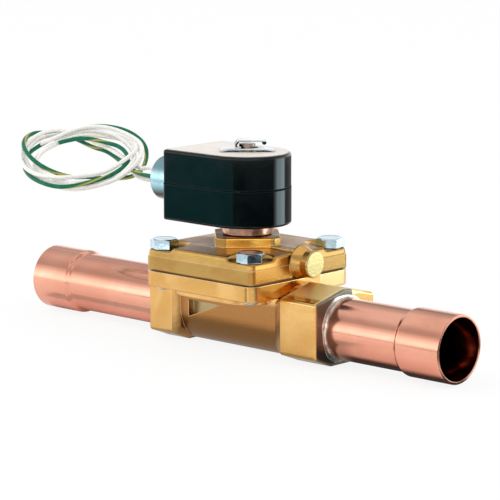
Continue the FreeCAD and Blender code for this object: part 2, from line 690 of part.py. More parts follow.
def make_plug():
    """Fixed core that closes the stem tube, with a grooved head for the clip."""
    ring_top = PLUG_Z + SHADING_RING_HEIGHT
    neck_top = STEM_TOP_Z + PLUG_NECK_HEIGHT
    body = rod(STEM_BORE, PLUG_Z, STEM_TOP_Z)
    neck = rod(PLUG_NECK_DIA, STEM_TOP_Z, neck_top)
    head = rod(PLUG_HEAD_DIA, neck_top, neck_top + PLUG_HEAD_HEIGHT)
    groove = tube(SHADING_RING_DIA, SHADING_RING_DIA - 2 * SHADING_RING_WIDTH, PLUG_Z, ring_top)
    return body.fuse([neck, head]).cut(groove)


def make_shading_ring():
    return tube(SHADING_RING_DIA, SHADING_RING_DIA - 2 * SHADING_RING_WIDTH, PLUG_Z,
                PLUG_Z + SHADING_RING_HEIGHT)


def make_plunger():
    """Moving core with gas slots down its sides and a spring pocket in its top."""
    top = PLUNGER_Z + PLUNGER_LENGTH
    body = rod(PLUNGER_DIA, PLUNGER_Z, top)
    seal = rod(PLUNGER_SEAL_DIA, PLUNGER_Z, PILOT_TIP_Z + PLUNGER_SEAL_LENGTH)
    pocket = rod(PLUNGER_POCKET_DIA, top - PLUNGER_POCKET_DEPTH, top)
    radius, half = PLUNGER_DIA / 2, PLUNGER_SLOT_WIDTH / 2
    slots = [slab(radius - PLUNGER_SLOT_DEPTH, radius, -half, half, PLUNGER_Z, top),
             slab(-radius, PLUNGER_SLOT_DEPTH - radius, -half, half, PLUNGER_Z, top)]
    return body.cut([seal, pocket] + slots)


def make_plunger_seal():
    return rod(PLUNGER_SEAL_DIA, PILOT_TIP_Z, PILOT_TIP_Z + PLUNGER_SEAL_LENGTH)


def make_core_spring():
    floor = PLUNGER_Z + PLUNGER_LENGTH - PLUNGER_POCKET_DEPTH
    return spring(CORE_SPRING_DIA, CORE_SPRING_WIRE, CORE_SPRING_TURNS,
                  floor + SPRING_GAP, PLUG_Z - SPRING_GAP)


# Moulded coil

def coil_outline(grow, corner, z0, z1):
    """Coil form in plan: flat end towards the inlet, straight sides and a round front."""
    half, end = COIL_WIDTH / 2 + grow, -COIL_END - grow
    inset = corner * (1 - math.sqrt(0.5))
    p = {
        "front_right": vec(0, -half, z0), "front": vec(half, 0, z0), "front_left": vec(0, half, z0),
        "left_start": vec(end + corner, half, z0), "left_mid": vec(end + inset, half - inset, z0),
        "left_end": vec(end, half - corner, z0), "right_start": vec(end, corner - half, z0),
        "right_mid": vec(end + inset, inset - half, z0), "right_end": vec(end + corner, -half, z0)}
    wire = Part.Wire([
        Part.Arc(p["front_right"], p["front"], p["front_left"]).toShape(),
        Part.LineSegment(p["front_left"], p["left_start"]).toShape(),
        Part.Arc(p["left_start"], p["left_mid"], p["left_end"]).toShape(),
        Part.LineSegment(p["left_end"], p["right_start"]).toShape(),
        Part.Arc(p["right_start"], p["right_mid"], p["right_end"]).toShape(),
        Part.LineSegment(p["right_end"], p["front_right"]).toShape()])
    return Part.Face(wire).extrude(vec(0, 0, z1 - z0))


def round_rim(shape, z):
    return shape.makeFillet(COIL_EDGE_RADIUS, level_edges(shape, z))


def bobbin_span():
    middle = COIL_Z + COIL_HEIGHT / 2
    return middle - BOBBIN_LENGTH / 2, middle + BOBBIN_LENGTH / 2


def yoke_space(gap):
    """Space of the C-shaped steel yoke, grown by a gap on its outer sides."""
    bottom, top = bobbin_span()
    half = YOKE_WIDTH / 2 + gap
    back, front = -YOKE_BACK - YOKE_THICKNESS - gap, YOKE_FRONT + gap
    outer = slab(back, front, -half, half, bottom - YOKE_THICKNESS - gap, top + YOKE_THICKNESS + gap)
    inner = slab(-YOKE_BACK + gap, front, -half, half, bottom + gap, top - gap)
    return outer.cut(inner)


def conduit_foot(gap):
    """Part of the conduit hub that is moulded into the coil."""
    inner = -COIL_END + CONDUIT_SINK
    shank = bar(CONDUIT_DIA + 2 * gap, -COIL_END - MOULD_STEP, inner + gap, CONDUIT_Z)
    foot = bar(CONDUIT_FOOT_DIA + 2 * gap, inner - CONDUIT_FOOT - gap, inner + gap, CONDUIT_Z)
    return shank.fuse(foot)


def make_coil_housing():
    """Moulded coil body round the yoke, the winding and the foot of the conduit hub."""
    line_z = COIL_Z + MOULD_LINE_HEIGHT
    lower = coil_outline(MOULD_STEP, COIL_CORNER_RADIUS + MOULD_STEP, COIL_Z, line_z)
    upper = coil_outline(0, COIL_CORNER_RADIUS, line_z, COIL_TOP_Z)
    block = round_rim(lower, COIL_Z).fuse(round_rim(upper, COIL_TOP_Z))
    bottom, top = bobbin_span()
    winding = rod(BOBBIN_FLANGE_DIA + 2 * FILL_GAP, bottom - FILL_GAP, top + FILL_GAP)
    bore = rod(COIL_BORE, COIL_Z, COIL_TOP_Z)
    return block.cut([bore, winding, yoke_space(FILL_GAP), conduit_foot(FILL_GAP)])


def make_bobbin():
    bottom, top = bobbin_span()
    core = COIL_BORE + 2 * BOBBIN_WALL
    spool = rod(core, bottom, top)
    flanges = [rod(BOBBIN_FLANGE_DIA, bottom, bottom + BOBBIN_FLANGE),
               rod(BOBBIN_FLANGE_DIA, top - BOBBIN_FLANGE, top)]
    return spool.fuse(flanges).cut(rod(COIL_BORE, bottom, top)).removeSplitter()


def make_winding():
    bottom, top = bobbin_span()
    core = COIL_BORE + 2 * BOBBIN_WALL
    return tube(WINDING_DIA, core, bottom + BOBBIN_FLANGE, top - BOBBIN_FLANGE)


def make_yoke():
    return yoke_space(0).cut(rod(COIL_BORE, COIL_Z, COIL_TOP_Z))


def make_label():
    """Bare plate on top of the coil."""
    plate = coil_outline(-LABEL_INSET, LABEL_CORNER_RADIUS, COIL_TOP_Z, LABEL_TOP_Z)
    return plate.cut(rod(COIL_BORE, COIL_TOP_Z, LABEL_TOP_Z))


# Conduit hub, grommet and leads

def make_conduit_hub():
    mouth = -COIL_END - CONDUIT_REACH
    inner = -COIL_END + CONDUIT_SINK
    barrel_part = bar(CONDUIT_DIA, mouth, inner, CONDUIT_Z)
    rim = [e for e in barrel_part.Edges if abs(e.BoundBox.XMax - mouth) < SAME]
    barrel_part = barrel_part.makeChamfer(CONDUIT_EDGE, rim)
    foot = bar(CONDUIT_FOOT_DIA, inner - CONDUIT_FOOT, inner, CONDUIT_Z)
    return barrel_part.fuse(foot).cut(bar(CONDUIT_BORE, mouth, inner, CONDUIT_Z))


def lead_angle(index):
    return math.radians(180 - 120 * index)


def make_grommet():
    """Rubber bush in the conduit hub, with a hole for each lead."""
    outer_x = -COIL_END - CONDUIT_REACH + GROMMET_SINK
    bush = bar(CONDUIT_BORE, outer_x, outer_x + GROMMET_LENGTH, CONDUIT_Z)
    for index in range(3):
        y = LEAD_HOLE_RADIUS * math.cos(lead_angle(index))
        z = CONDUIT_Z + LEAD_HOLE_RADIUS * math.sin(lead_angle(index))
        hole = Part.makeCylinder(LEAD_DIA / 2, GROMMET_LENGTH, vec(outer_x, y, z), X_AXIS)
        bush = bush.cut(hole)
    return bush


def arc_radius(before, corner, after):
    """Radius of the arc that rounds one corner of a route."""
    back, ahead = before - corner, after - corner
    turn = math.pi - back.getAngle(ahead)
    return ARC_SHARE * min(back.Length, ahead.Length) / math.tan(turn / 2)


def rounded_route(points):
    """Straight runs joined by tangent arcs, and the smallest arc radius."""
    edges, radii = [], []
    start = points[0]
    for before, corner, after in zip(points, points[1:], points[2:]):
        back, ahead = (before - corner).normalize(), (after - corner).normalize()
        radius = arc_radius(before, corner, after)
        half = (math.pi - back.getAngle(ahead)) / 2
        cut = radius * math.tan(half)
        inward = (back + ahead).normalize()
        middle = corner + inward * (radius / math.cos(half) - radius)
        entry, leave = corner + back * cut, corner + ahead * cut
        edges.append(Part.LineSegment(start, entry).toShape())
        edges.append(Part.Arc(entry, middle, leave).toShape())
        radii.append(radius)
        start = leave
    edges.append(Part.LineSegment(start, points[-1]).toShape())
    return Part.Wire(edges), min(radii)


def make_lead(route, loop):
    """One lead from the grommet to where it joins the loop."""
    wire, radius = rounded_route([vec(*point) for point in route])
    section = Part.Wire(Part.makeCircle(LEAD_DIA / 2, vec(*route[0]), X_AXIS))
    lead = wire.makePipeShell([section], True, False)
    expected = math.pi * (LEAD_DIA / 2) ** 2 * wire.Length
    print(f"lead smallest radius {radius:.1f}, length {wire.Length:.1f}, "
          f"volume share {lead.Volume / expected:.3f}")
    return lead.cut(loop)


def make_loop():
    """Outer form of the two loose turns that the three leads make."""
    half = LOOP_THICKNESS / 2
    inner, outer = LOOP_DIA / 2 - LOOP_BAND / 2, LOOP_DIA / 2 + LOOP_BAND / 2
    low_in, low_out = vec(inner + half, 0, -half), vec(outer - half, 0, -half)
    high_in, high_out = vec(inner + half, 0, half), vec(outer - half, 0, half)
    section = Part.Wire([Part.LineSegment(low_in, low_out).toShape(),
                         Part.Arc(low_out, vec(outer, 0, 0), high_out).toShape(),
                         Part.LineSegment(high_out, high_in).toShape(),
                         Part.Arc(high_in, vec(inner, 0, 0), low_in).toShape()])
    loop = Part.Face(section).revolve(vec(0, 0, 0), Z_AXIS, 360)
    loop.rotate(vec(0, 0, 0), X_AXIS, LOOP_TILT)
    loop.rotate(vec(0, 0, 0), Z_AXIS, LOOP_HEADING)
    loop.translate(vec(*LOOP_CENTRE))
    return loop


# Retaining clip

def strip_face(centre_line, thickness):
    """Face of a bent strip in the XZ plane, with mitred bends."""
    left, right = [], []
    for k, (x, z) in enumerate(centre_line):
        x0, z0 = centre_line[max(k - 1, 0)]
        x1, z1 = centre_line[min(k + 1, len(centre_line) - 1)]
        ahead = math.atan2(z1 - z, x1 - x) if (x1, z1) != (x, z) else math.atan2(z - z0, x - x0)
        behind = math.atan2(z - z0, x - x0) if (x0, z0) != (x, z) else ahead
        bend = (ahead - behind) / 2
        normal = (ahead + behind) / 2 + math.pi / 2
        reach = thickness / 2 / math.cos(bend)
        left.append(vec(x + reach * math.cos(normal), 0, z + reach * math.sin(normal)))
        right.append(vec(x - reach * math.cos(normal), 0, z - reach * math.sin(normal)))
    return polygon_face(left + right[::-1])


def make_clip():
    """Folded spring strip: a bowed leaf in the stem's groove and a finger tab above it."""
    leaf_z = STEM_TOP_Z + PLUG_NECK_HEIGHT / 2
    foot_z = LABEL_TOP_Z + CLIP_STRIP / 2
    tab_z = STEM_TOP_Z + PLUG_NECK_HEIGHT + PLUG_HEAD_HEIGHT + CLIP_TAB_HEIGHT / 2
    rise = (foot_z + leaf_z) / 2
    knee = (CLIP_HALF_SPAN + CLIP_SEAT_HALF) / 2
    leaf = [(-CLIP_HALF_SPAN, foot_z), (-knee, rise + CLIP_STRIP / 2), (-CLIP_SEAT_HALF, leaf_z),
            (CLIP_SEAT_HALF, leaf_z), (knee, rise + CLIP_STRIP / 2), (CLIP_HALF_SPAN, foot_z)]
    tab = [(-CLIP_TAB_START, leaf_z), (-CLIP_TAB_START - CLIP_STRIP, (leaf_z + tab_z) / 2),
           (-CLIP_TAB_START + CLIP_STRIP, tab_z), (CLIP_TAB_REACH, tab_z)]
    half = CLIP_WIDTH / 2
    strips = []
    for line in (leaf, tab):
        face = strip_face(line, CLIP_STRIP)
        face.translate(vec(0, -half, 0))
        strips.append(face.extrude(vec(0, CLIP_WIDTH, 0)))
    roll = Part.makeCylinder(CLIP_ROLL_DIA / 2, CLIP_WIDTH,
                             vec(CLIP_TAB_REACH, -half, tab_z - CLIP_ROLL_DIA / 2 + CLIP_STRIP / 2), Y_AXIS)
    clip = strips[0].fuse([strips[1], roll])
    neck = PLUG_NECK_DIA + 2 * CLIP_SLOT_CLEARANCE
    hole = rod(neck, leaf_z - CLIP_STRIP, leaf_z + CLIP_STRIP)
    entry = slab(0, CLIP_SEAT_HALF, -neck / 2, neck / 2, leaf_z - CLIP_STRIP, leaf_z + CLIP_STRIP)
    clip = clip.cut(hole.fuse(entry))
    clip.rotate(vec(0, 0, 0), Z_AXIS, CLIP_HEADING)
    return clip


def make_parts():
    loop = make_loop()
    return {
        "valve_body": make_valve_body(),
        "bonnet": make_bonnet(),
        "bonnet_gasket": make_gasket(),
        "bonnet_bolts": make_bolts(),
        "inlet_tube": make_tube(-INLET_NECK_END, INLET_REACH),
        "outlet_tube": make_tube(OUTLET_NECK_END, OUTLET_REACH),
        "inlet_braze_ring": make_braze_ring(-INLET_NECK_END),
        "outlet_braze_ring": make_braze_ring(OUTLET_NECK_END),
        "main_piston": make_piston(),
        "piston_ring": make_piston_ring(),
        "seat_disc": make_seat_disc(),
        "seat_disc_retainer": make_retainer(),
        "main_spring": make_main_spring(),
        "pilot_seat": make_pilot_seat(),
        "stem_collar": make_collar(),
        "collar_seal": make_collar_seal(),
        "stem_tube": make_stem_tube(),
        "fixed_core": make_plug(),
        "shading_ring": make_shading_ring(),
        "plunger": make_plunger(),
        "plunger_seal": make_plunger_seal(),
        "core_spring": make_core_spring(),
        "coil_housing": make_coil_housing(),
        "coil_bobbin": make_bobbin(),
        "coil_winding": make_winding(),
        "coil_yoke": make_yoke(),
        "label_plate": make_label(),
        "conduit_hub": make_conduit_hub(),
        "lead_grommet": make_grommet(),
        "green_lead": make_lead(GREEN_ROUTE, loop),
        "white_lead_a": make_lead(WHITE_A_ROUTE, loop),
        "white_lead_b": make_lead(WHITE_B_ROUTE, loop),
        "lead_loop": loop,
        "retaining_clip": make_clip(),
    }


def main():
    os.makedirs("parts", exist_ok=True)
    for name, shape in make_parts().items():
        if not shape.isValid():
            print("not valid:", name)
        shape.exportStep(os.path.join("parts", name + ".step"))
        print(f"{name}: {len(shape.Solids)} solids, {shape.Volume:.0f} mm3")


if __name__ == "__main__":
    main()
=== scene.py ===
"""Dressed scene of a refrigeration solenoid valve on its copper tube ends.

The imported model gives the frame: +X with the flow, +Y to the rear, +Z up, in metres. The classes
below keep its solids where they are right, replace those that need finer detail, and give every
piece its finish.
"""

import logging
import math
from dataclasses import dataclass, field
from enum import Enum
from functools import reduce
from typing import ClassVar

import bpy
import numpy as np
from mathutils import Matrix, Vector


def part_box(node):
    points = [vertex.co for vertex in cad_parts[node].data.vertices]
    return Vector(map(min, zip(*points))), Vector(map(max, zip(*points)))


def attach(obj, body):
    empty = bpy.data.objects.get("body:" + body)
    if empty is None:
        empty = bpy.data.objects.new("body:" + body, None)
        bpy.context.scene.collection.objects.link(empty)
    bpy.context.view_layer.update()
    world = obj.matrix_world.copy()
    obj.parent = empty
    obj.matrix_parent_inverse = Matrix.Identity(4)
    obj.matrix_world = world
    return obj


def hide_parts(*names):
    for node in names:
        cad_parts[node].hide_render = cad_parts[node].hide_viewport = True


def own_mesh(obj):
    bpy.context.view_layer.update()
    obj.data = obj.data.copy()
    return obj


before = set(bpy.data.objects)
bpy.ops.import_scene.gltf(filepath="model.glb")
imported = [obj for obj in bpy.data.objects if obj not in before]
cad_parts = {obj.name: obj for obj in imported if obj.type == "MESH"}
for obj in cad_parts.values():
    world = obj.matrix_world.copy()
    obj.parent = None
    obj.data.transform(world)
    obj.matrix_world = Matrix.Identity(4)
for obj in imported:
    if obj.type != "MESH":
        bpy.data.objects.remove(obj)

LOG = logging.getLogger("valve")
MM = 0.001
WHITE = (1.0, 1.0, 1.0, 1.0)
FLOAT, VECTOR = "NodeSocketFloat", "NodeSocketVector"

Colour = tuple[float, float, float]
Triple = tuple[float, float, float]
Route = list[Triple]
Material = bpy.types.Material
Node = bpy.types.Node
Piece = bpy.types.Object
Socket = bpy.types.NodeSocket
Tree = bpy.types.NodeTree


class Body(Enum):
    """CAD bodies that new pieces ride on."""

    VALVE = "valve"
    COIL = "coil"


class Slot(Enum):
    """Material slot names of new pieces; the leads' finishes are looked up by them."""

    BRAZE = "braze_alloy"
    ZINC = "zinc_steel"
    SPRING = "spring_steel"
    GREEN = "green_insulation"
    WHITE = "white_insulation"


class Web:
    """Node tree under construction."""

    def __init__(self, tree: Tree) -> None:
        """Starts with the tree emptied."""
        self.tree = tree
        tree.nodes.clear()

    def add(self, kind: str, inputs: dict | None = None, **settings) -> Node:
        """Adds one shader node.

        Args:
            kind: Blender's name of the node type, without ShaderNode before it.
            inputs: values or output sockets by input name or number.
            settings: the node's own properties.

        Returns:
            The new node.
        """
        node = self.tree.nodes.new("ShaderNode" + kind)
        for name, value in settings.items():
            setattr(node, name, value)
        for key, value in (inputs or {}).items():
            if isinstance(value, Socket):
                self.link(value, node.inputs[key])
            else:
                node.inputs[key].default_value = value
        return node

    def link(self, source: Socket, target: Socket) -> None:
        """Links an output socket to an input socket."""
        self.tree.links.new(source, target)

    def use(self, group: Tree, **inputs) -> Node:
        """Places a shared group with its named inputs."""
        return self.add("Group", inputs, node_tree=group)

    def math(self, operation: str, *values) -> Socket:
        """Adds a Math node over values or sockets and returns its output."""
        return self.add("Math", dict(enumerate(values)), operation=operation).outputs[0]

    def product(self, masks: list[Socket]) -> Socket:
        """Multiplies masks together in their order."""
        return reduce(lambda first, second: self.math("MULTIPLY", first, second), masks)

    def dot(self, first, second) -> Socket:
        """Returns the dot product of two vectors, each a socket or three numbers."""
        node = self.add("VectorMath", {0: first, 1: second}, operation="DOT_PRODUCT")
        return node.outputs["Value"]

    def span(self, value, low: float, high: float, to_low: float = 0.0, to_high: float = 1.0,
             kind: str = "SMOOTHSTEP") -> Socket:
        """Maps a value from one range to another, clamped at the ends.

        Args:
            value: the socket or number to map.
            low: start of its range.
            high: end of its range.
            to_low: result at the start.
            to_high: result at the end.
            kind: Blender's name of the curve between the ends.

        Returns:
            The mapped value.
        """
        inputs = {"Value": value, "From Min": low, "From Max": high, "To Min": to_low, "To Max": to_high}
        return self.add("MapRange", inputs, interpolation_type=kind).outputs["Result"]

    def blend(self, share, first, second) -> Socket:
        """Mixes two colours by a share and returns the colour; inputs 6 and 7 are the node's colours."""
        node = self.add("Mix", {"Factor": share, 6: first, 7: second}, data_type="RGBA")
        return node.outputs[2]

    def noise(self, place: Socket, scale, **inputs) -> Socket:
        """Adds noise over a place socket and returns its value."""
        return self.add("TexNoise", {"Vector": place, "Scale": scale, **inputs}).outputs[0]

    def end(self, shader: Node, kind: str = "OutputMaterial") -> None:
        """Makes a shader the tree's surface."""
        self.add(kind, {"Surface": shader.outputs[0]})


def rgba(colour: Colour) -> tuple[float, float, float, float]:
    """Adds full cover to a colour."""
    return (*colour, 1.0)


def start_material(name: str) -> tuple[Material, Web]:
    """Makes an empty material.

    Args:
        name: its name.

    Returns:
        The material and its web.
    """
    material = bpy.data.materials.new(name)
    material.use_nodes = True
    return material, Web(material.node_tree)


def add_object(name: str, data: bpy.types.ID) -> Piece:
    """Makes an object and puts it into the scene.

    Args:
        name: its name.
        data: its mesh, curve, camera or lamp.

    Returns:
        The object.
    """
    made = bpy.data.objects.new(name, data)
    bpy.context.scene.collection.objects.link(made)
    return made


class SharedGroups:
    """Effects that several finishes use, each built once.

    FINE and SMUDGED set the noise of the grain and of the patina. The other pairs are where a mask
    starts and ends: STAINED on the patina's noise, ROUNDED on the cosine between the rounded and the
    flat normal, NARROW and INSIDE on the open share of the surroundings. HOLLOW_REACH is in metres, and
    PROBES is the number of rays.
    """

    FINE = {"Detail": 3.0, "Roughness": 0.55}
    SMUDGED = {"Detail": 4.0, "Roughness": 0.6, "Distortion": 0.6}
    STAINED = (0.38, 0.66)
    ROUNDED = (0.78, 0.96)
    NARROW = (0.25, 0.62)
    INSIDE = (0.30, 0.62)
    HOLLOW_REACH = 0.040
    PROBES = 8

    def __init__(self) -> None:
        """Builds the groups."""
        self.grain = self._grain()
        self.patina = self._patina()
        self.soft_edge = self._soft_edge()
        self.crevice = self._crevice()
        self.hollow = self._hollow()

    @staticmethod
    def _start(name: str, inputs: dict, outputs: dict) -> tuple:
        """Makes an empty group with named sockets.

        Args:
            name: name of the group.
            inputs: socket type by input name.
            outputs: socket type by output name.

        Returns:
            The group's web, the sockets of what comes in and the sockets of what goes out.
        """
        tree = bpy.data.node_groups.new(name, "ShaderNodeTree")
        web = Web(tree)
        for socket, kind in inputs.items():
            tree.interface.new_socket(socket, in_out="INPUT", socket_type=kind)
        for socket, kind in outputs.items():
            tree.interface.new_socket(socket, in_out="OUTPUT", socket_type=kind)
        return web, tree.nodes.new("NodeGroupInput").outputs, tree.nodes.new("NodeGroupOutput").inputs

    def _grain(self) -> Tree:
        """Fine relief, stretched along one axis where the piece was drawn or turned.

        Returns:
            The group, from a place and the stretch to a height.
        """
        web, given, out = self._start("surface_grain", {"Vector": VECTOR, "Stretch": VECTOR},
                                      {"Height": FLOAT})
        mapped = web.add("Mapping", {"Vector": given["Vector"], "Scale": given["Stretch"]})
        web.link(web.noise(mapped.outputs[0], 1.0, **self.FINE), out["Height"])
        return web.tree

    def _patina(self) -> Tree:
        """Smudges and slight stains.

        Returns:
            The group, from a place and a scale to a mask from 0 to 1.
        """
        web, given, out = self._start("handling_patina", {"Vector": VECTOR, "Scale": FLOAT}, {"Mask": FLOAT})
        broad = web.noise(given["Vector"], given["Scale"], **self.SMUDGED)
        web.link(web.span(broad, *self.STAINED), out["Mask"])
        return web.tree

    def _soft_edge(self) -> Tree:
        """Sharp edges rounded over a small radius.

        Returns:
            The group, from a radius to a normal and a mask of the edges themselves.
        """
        web, given, out = self._start("soft_edge", {"Radius": FLOAT}, {"Normal": VECTOR, "Edge": FLOAT})
        bevel = web.add("Bevel", {"Radius": given["Radius"]}, samples=self.PROBES).outputs[0]
        along = web.dot(bevel, web.add("NewGeometry").outputs["Normal"])
        web.link(bevel, out["Normal"])
        web.link(web.span(along, *self.ROUNDED, 1.0, 0.0), out["Edge"])
        return web.tree

    def _crevice(self) -> Tree:
        """Painted shade in narrow corners and joints, together with the dirt and old flux that stay there.

        Returns:
            The group, from a reach in metres to a mask.
        """
        web, given, out = self._start("crevice", {"Reach": FLOAT}, {"Mask": FLOAT})
        opened = web.add("AmbientOcclusion", {"Distance": given["Reach"]}, samples=self.PROBES)
        web.link(web.span(opened.outputs["AO"], *self.NARROW, 1.0, 0.0), out["Mask"])
        return web.tree

    def _hollow(self) -> Tree:
        """A piece's own inside, such as a tube's bore, where little light comes.

        Returns:
            The group, which only puts out a mask.
        """
        web, _, out = self._start("hollow", {}, {"Mask": FLOAT})
        opened = web.add("AmbientOcclusion", {"Distance": self.HOLLOW_REACH}, samples=self.PROBES,
                         only_local=True)
        web.link(web.span(opened.outputs["AO"], *self.INSIDE, 1.0, 0.0), out["Mask"])
        return web.tree


GROUPS = SharedGroups()


@dataclass(frozen=True)
class Zone:
    """Part of a piece with a tone of its own, in some places painted light and shade: a box in metres with
    soft sides.
    """

    low: Triple
    high: Triple
    colour: Colour
    roughness: float
    soft: float = 0.0006
    metallic: float | None = None

    def mask(self, web: Web, place: Socket) -> Socket:
        """Adds the box: a ramp over each of its six sides, all multiplied together.

        Args:
            web: the material's web.
            place: the socket of Object coordinates.

        Returns:
            The mask, 1 inside the box.
        """
        parts = web.add("SeparateXYZ", {0: place}).outputs
        edges = [(axis, edge, sign * self.soft) for axis, sides in enumerate(zip(self.low, self.high))
                 for edge, sign in zip(sides, (1.0, -1.0))]
        return web.product([web.span(parts[axis], edge - soft, edge + soft) for axis, edge, soft in edges])


@dataclass(frozen=True)
class Finish:
    """Finish with a grain, a patina and softened edges.

    Lengths are in metres, and the grain's stretch is in cycles per metre along X, Y and Z. Painted light and
    shade: a painted highlight on rounded edges, painted shade with dirt in narrow corners, painted shade in
    the piece's hollows, and a painted shade, darker and greyer, that the colour of upward faces turns to as
    the rise of the face's normal goes through LEVEL.
    """

    LEVEL: ClassVar[tuple[float, float]] = (0.90, 0.985)

    name: str
    colour: Colour
    stain: Colour
    roughness: float
    spread: float = 0.08
    metallic: float = 1.0
    grain: Triple = (900.0, 900.0, 900.0)
    relief: float = 0.00002
    edge: float = 0.0
    patina: float = 45.0
    specular: float = 0.5
    crevice: float = 0.0
    grime_and_shade: Colour = (0.10, 0.06, 0.03)
    hollow: Colour | None = None
    zones: tuple[Zone, ...] = ()
    upward: Colour | None = None
    edge_highlight: Colour | None = None

    def build(self) -> Material:
        """Makes the material.

        Returns:
            The material, with its nodes linked.
        """
        material, web = start_material(self.name)
        coordinates = web.add("TexCoord").outputs
        place = coordinates["Object"]
        grain = web.use(GROUPS.grain, Vector=place, Stretch=self.grain).outputs["Height"]
        stained = web.use(GROUPS.patina, Vector=place, Scale=self.patina).outputs["Mask"]
        colour = web.blend(stained, rgba(self.colour), rgba(self.stain))
        rough = web.span(stained, 0.0, 1.0, self.roughness, self.roughness + self.spread, "LINEAR")
        # Painted shade: upward faces turn darker and greyer.
        if self.upward:
            rise = web.dot(coordinates["Normal"], (0.0, 0.0, 1.0))
            colour = web.blend(web.span(rise, *self.LEVEL), colour, rgba(self.upward))
        metal = self.metallic
        for zone in self.zones:
            mask = zone.mask(web, place)
            if zone.metallic is not None:
                metal = web.math("MULTIPLY_ADD", mask, zone.metallic - self.metallic, metal)
            colour = web.blend(mask, colour, rgba(zone.colour))
            change = web.math("SUBTRACT", zone.roughness, rough)
            rough = web.math("MULTIPLY_ADD", mask, change, rough)
        bump = web.add("Bump", {"Height": grain, "Distance": self.relief, "Strength": 1.0})
        if self.edge:
            soft = web.use(GROUPS.soft_edge, Radius=self.edge).outputs
            web.link(soft["Normal"], bump.inputs["Normal"])
            # Painted highlight along the rounded edges.
            if self.edge_highlight:
                colour = web.blend(soft["Edge"], colour, rgba(self.edge_highlight))
        # Painted shade in narrow corners, together with the dirt there.
        if self.crevice:
            narrow = web.use(GROUPS.crevice, Reach=self.crevice).outputs["Mask"]
            colour = web.blend(narrow, colour, rgba(self.grime_and_shade))
        # Painted shade in the piece's own hollows.
        if self.hollow:
            colour = web.blend(web.use(GROUPS.hollow).outputs["Mask"], colour, rgba(self.hollow))
        shader = web.add("BsdfPrincipled", {
            "Base Color": colour, "Roughness": rough, "Metallic": metal,
            "Normal": bump.outputs[0], "Specular IOR Level": self.specular})
        web.end(shader)
        return material


@dataclass(frozen=True)
class Insulation:
    """Smooth wire insulation, with a tracer stripe that winds slowly round the wire.

    The stripe's share and border are parts of the way round. The mottle is in cycles per metre, and the
    shade and the roughness follow its noise within SHADED and DULLED.
    """

    SHADED: ClassVar[tuple[float, float]] = (0.35, 0.7)
    DULLED: ClassVar[tuple[float, float]] = (0.3, 0.7)

    name: str
    colour: Colour
    shade: Colour
    tracer: Colour | None = None
    turns: float = 5.0
    share: float = 0.16
    border: float = 0.03
    mottle: float = 260.0
    relief: float = 0.00003
    roughness: tuple[float, float] = (0.30, 0.42)
    specular: float = 0.25

    def build(self) -> Material:
        """Makes the material.

        Returns:
            The material; the stripe follows the wire's own UV map, along it and round it.
        """
        material, web = start_material(self.name)
        coordinates = web.add("TexCoord").outputs
        mottled = web.noise(coordinates["Object"], self.mottle, Detail=3.0)
        colour = web.blend(web.span(mottled, *self.SHADED), rgba(self.colour), rgba(self.shade))
        if self.tracer:
            parts = web.add("SeparateXYZ", {0: coordinates["UV"]})
            wound = web.math("MULTIPLY_ADD", parts.outputs[0], self.turns, parts.outputs[1])
            off = web.math("ABSOLUTE", web.math("SUBTRACT", web.math("FRACT", wound), 0.5))
            stripe = web.span(off, self.share / 2, self.share / 2 + self.border, 1.0, 0.0)
            colour = web.blend(stripe, colour, rgba(self.tracer))
        bump = web.add("Bump", {"Height": mottled, "Distance": self.relief})
        shader = web.add("BsdfPrincipled", {
            "Base Color": colour, "Roughness": web.span(mottled, *self.DULLED, *self.roughness),
            "Normal": bump.outputs[0], "Specular IOR Level": self.specular})
        web.end(shader)
        return material


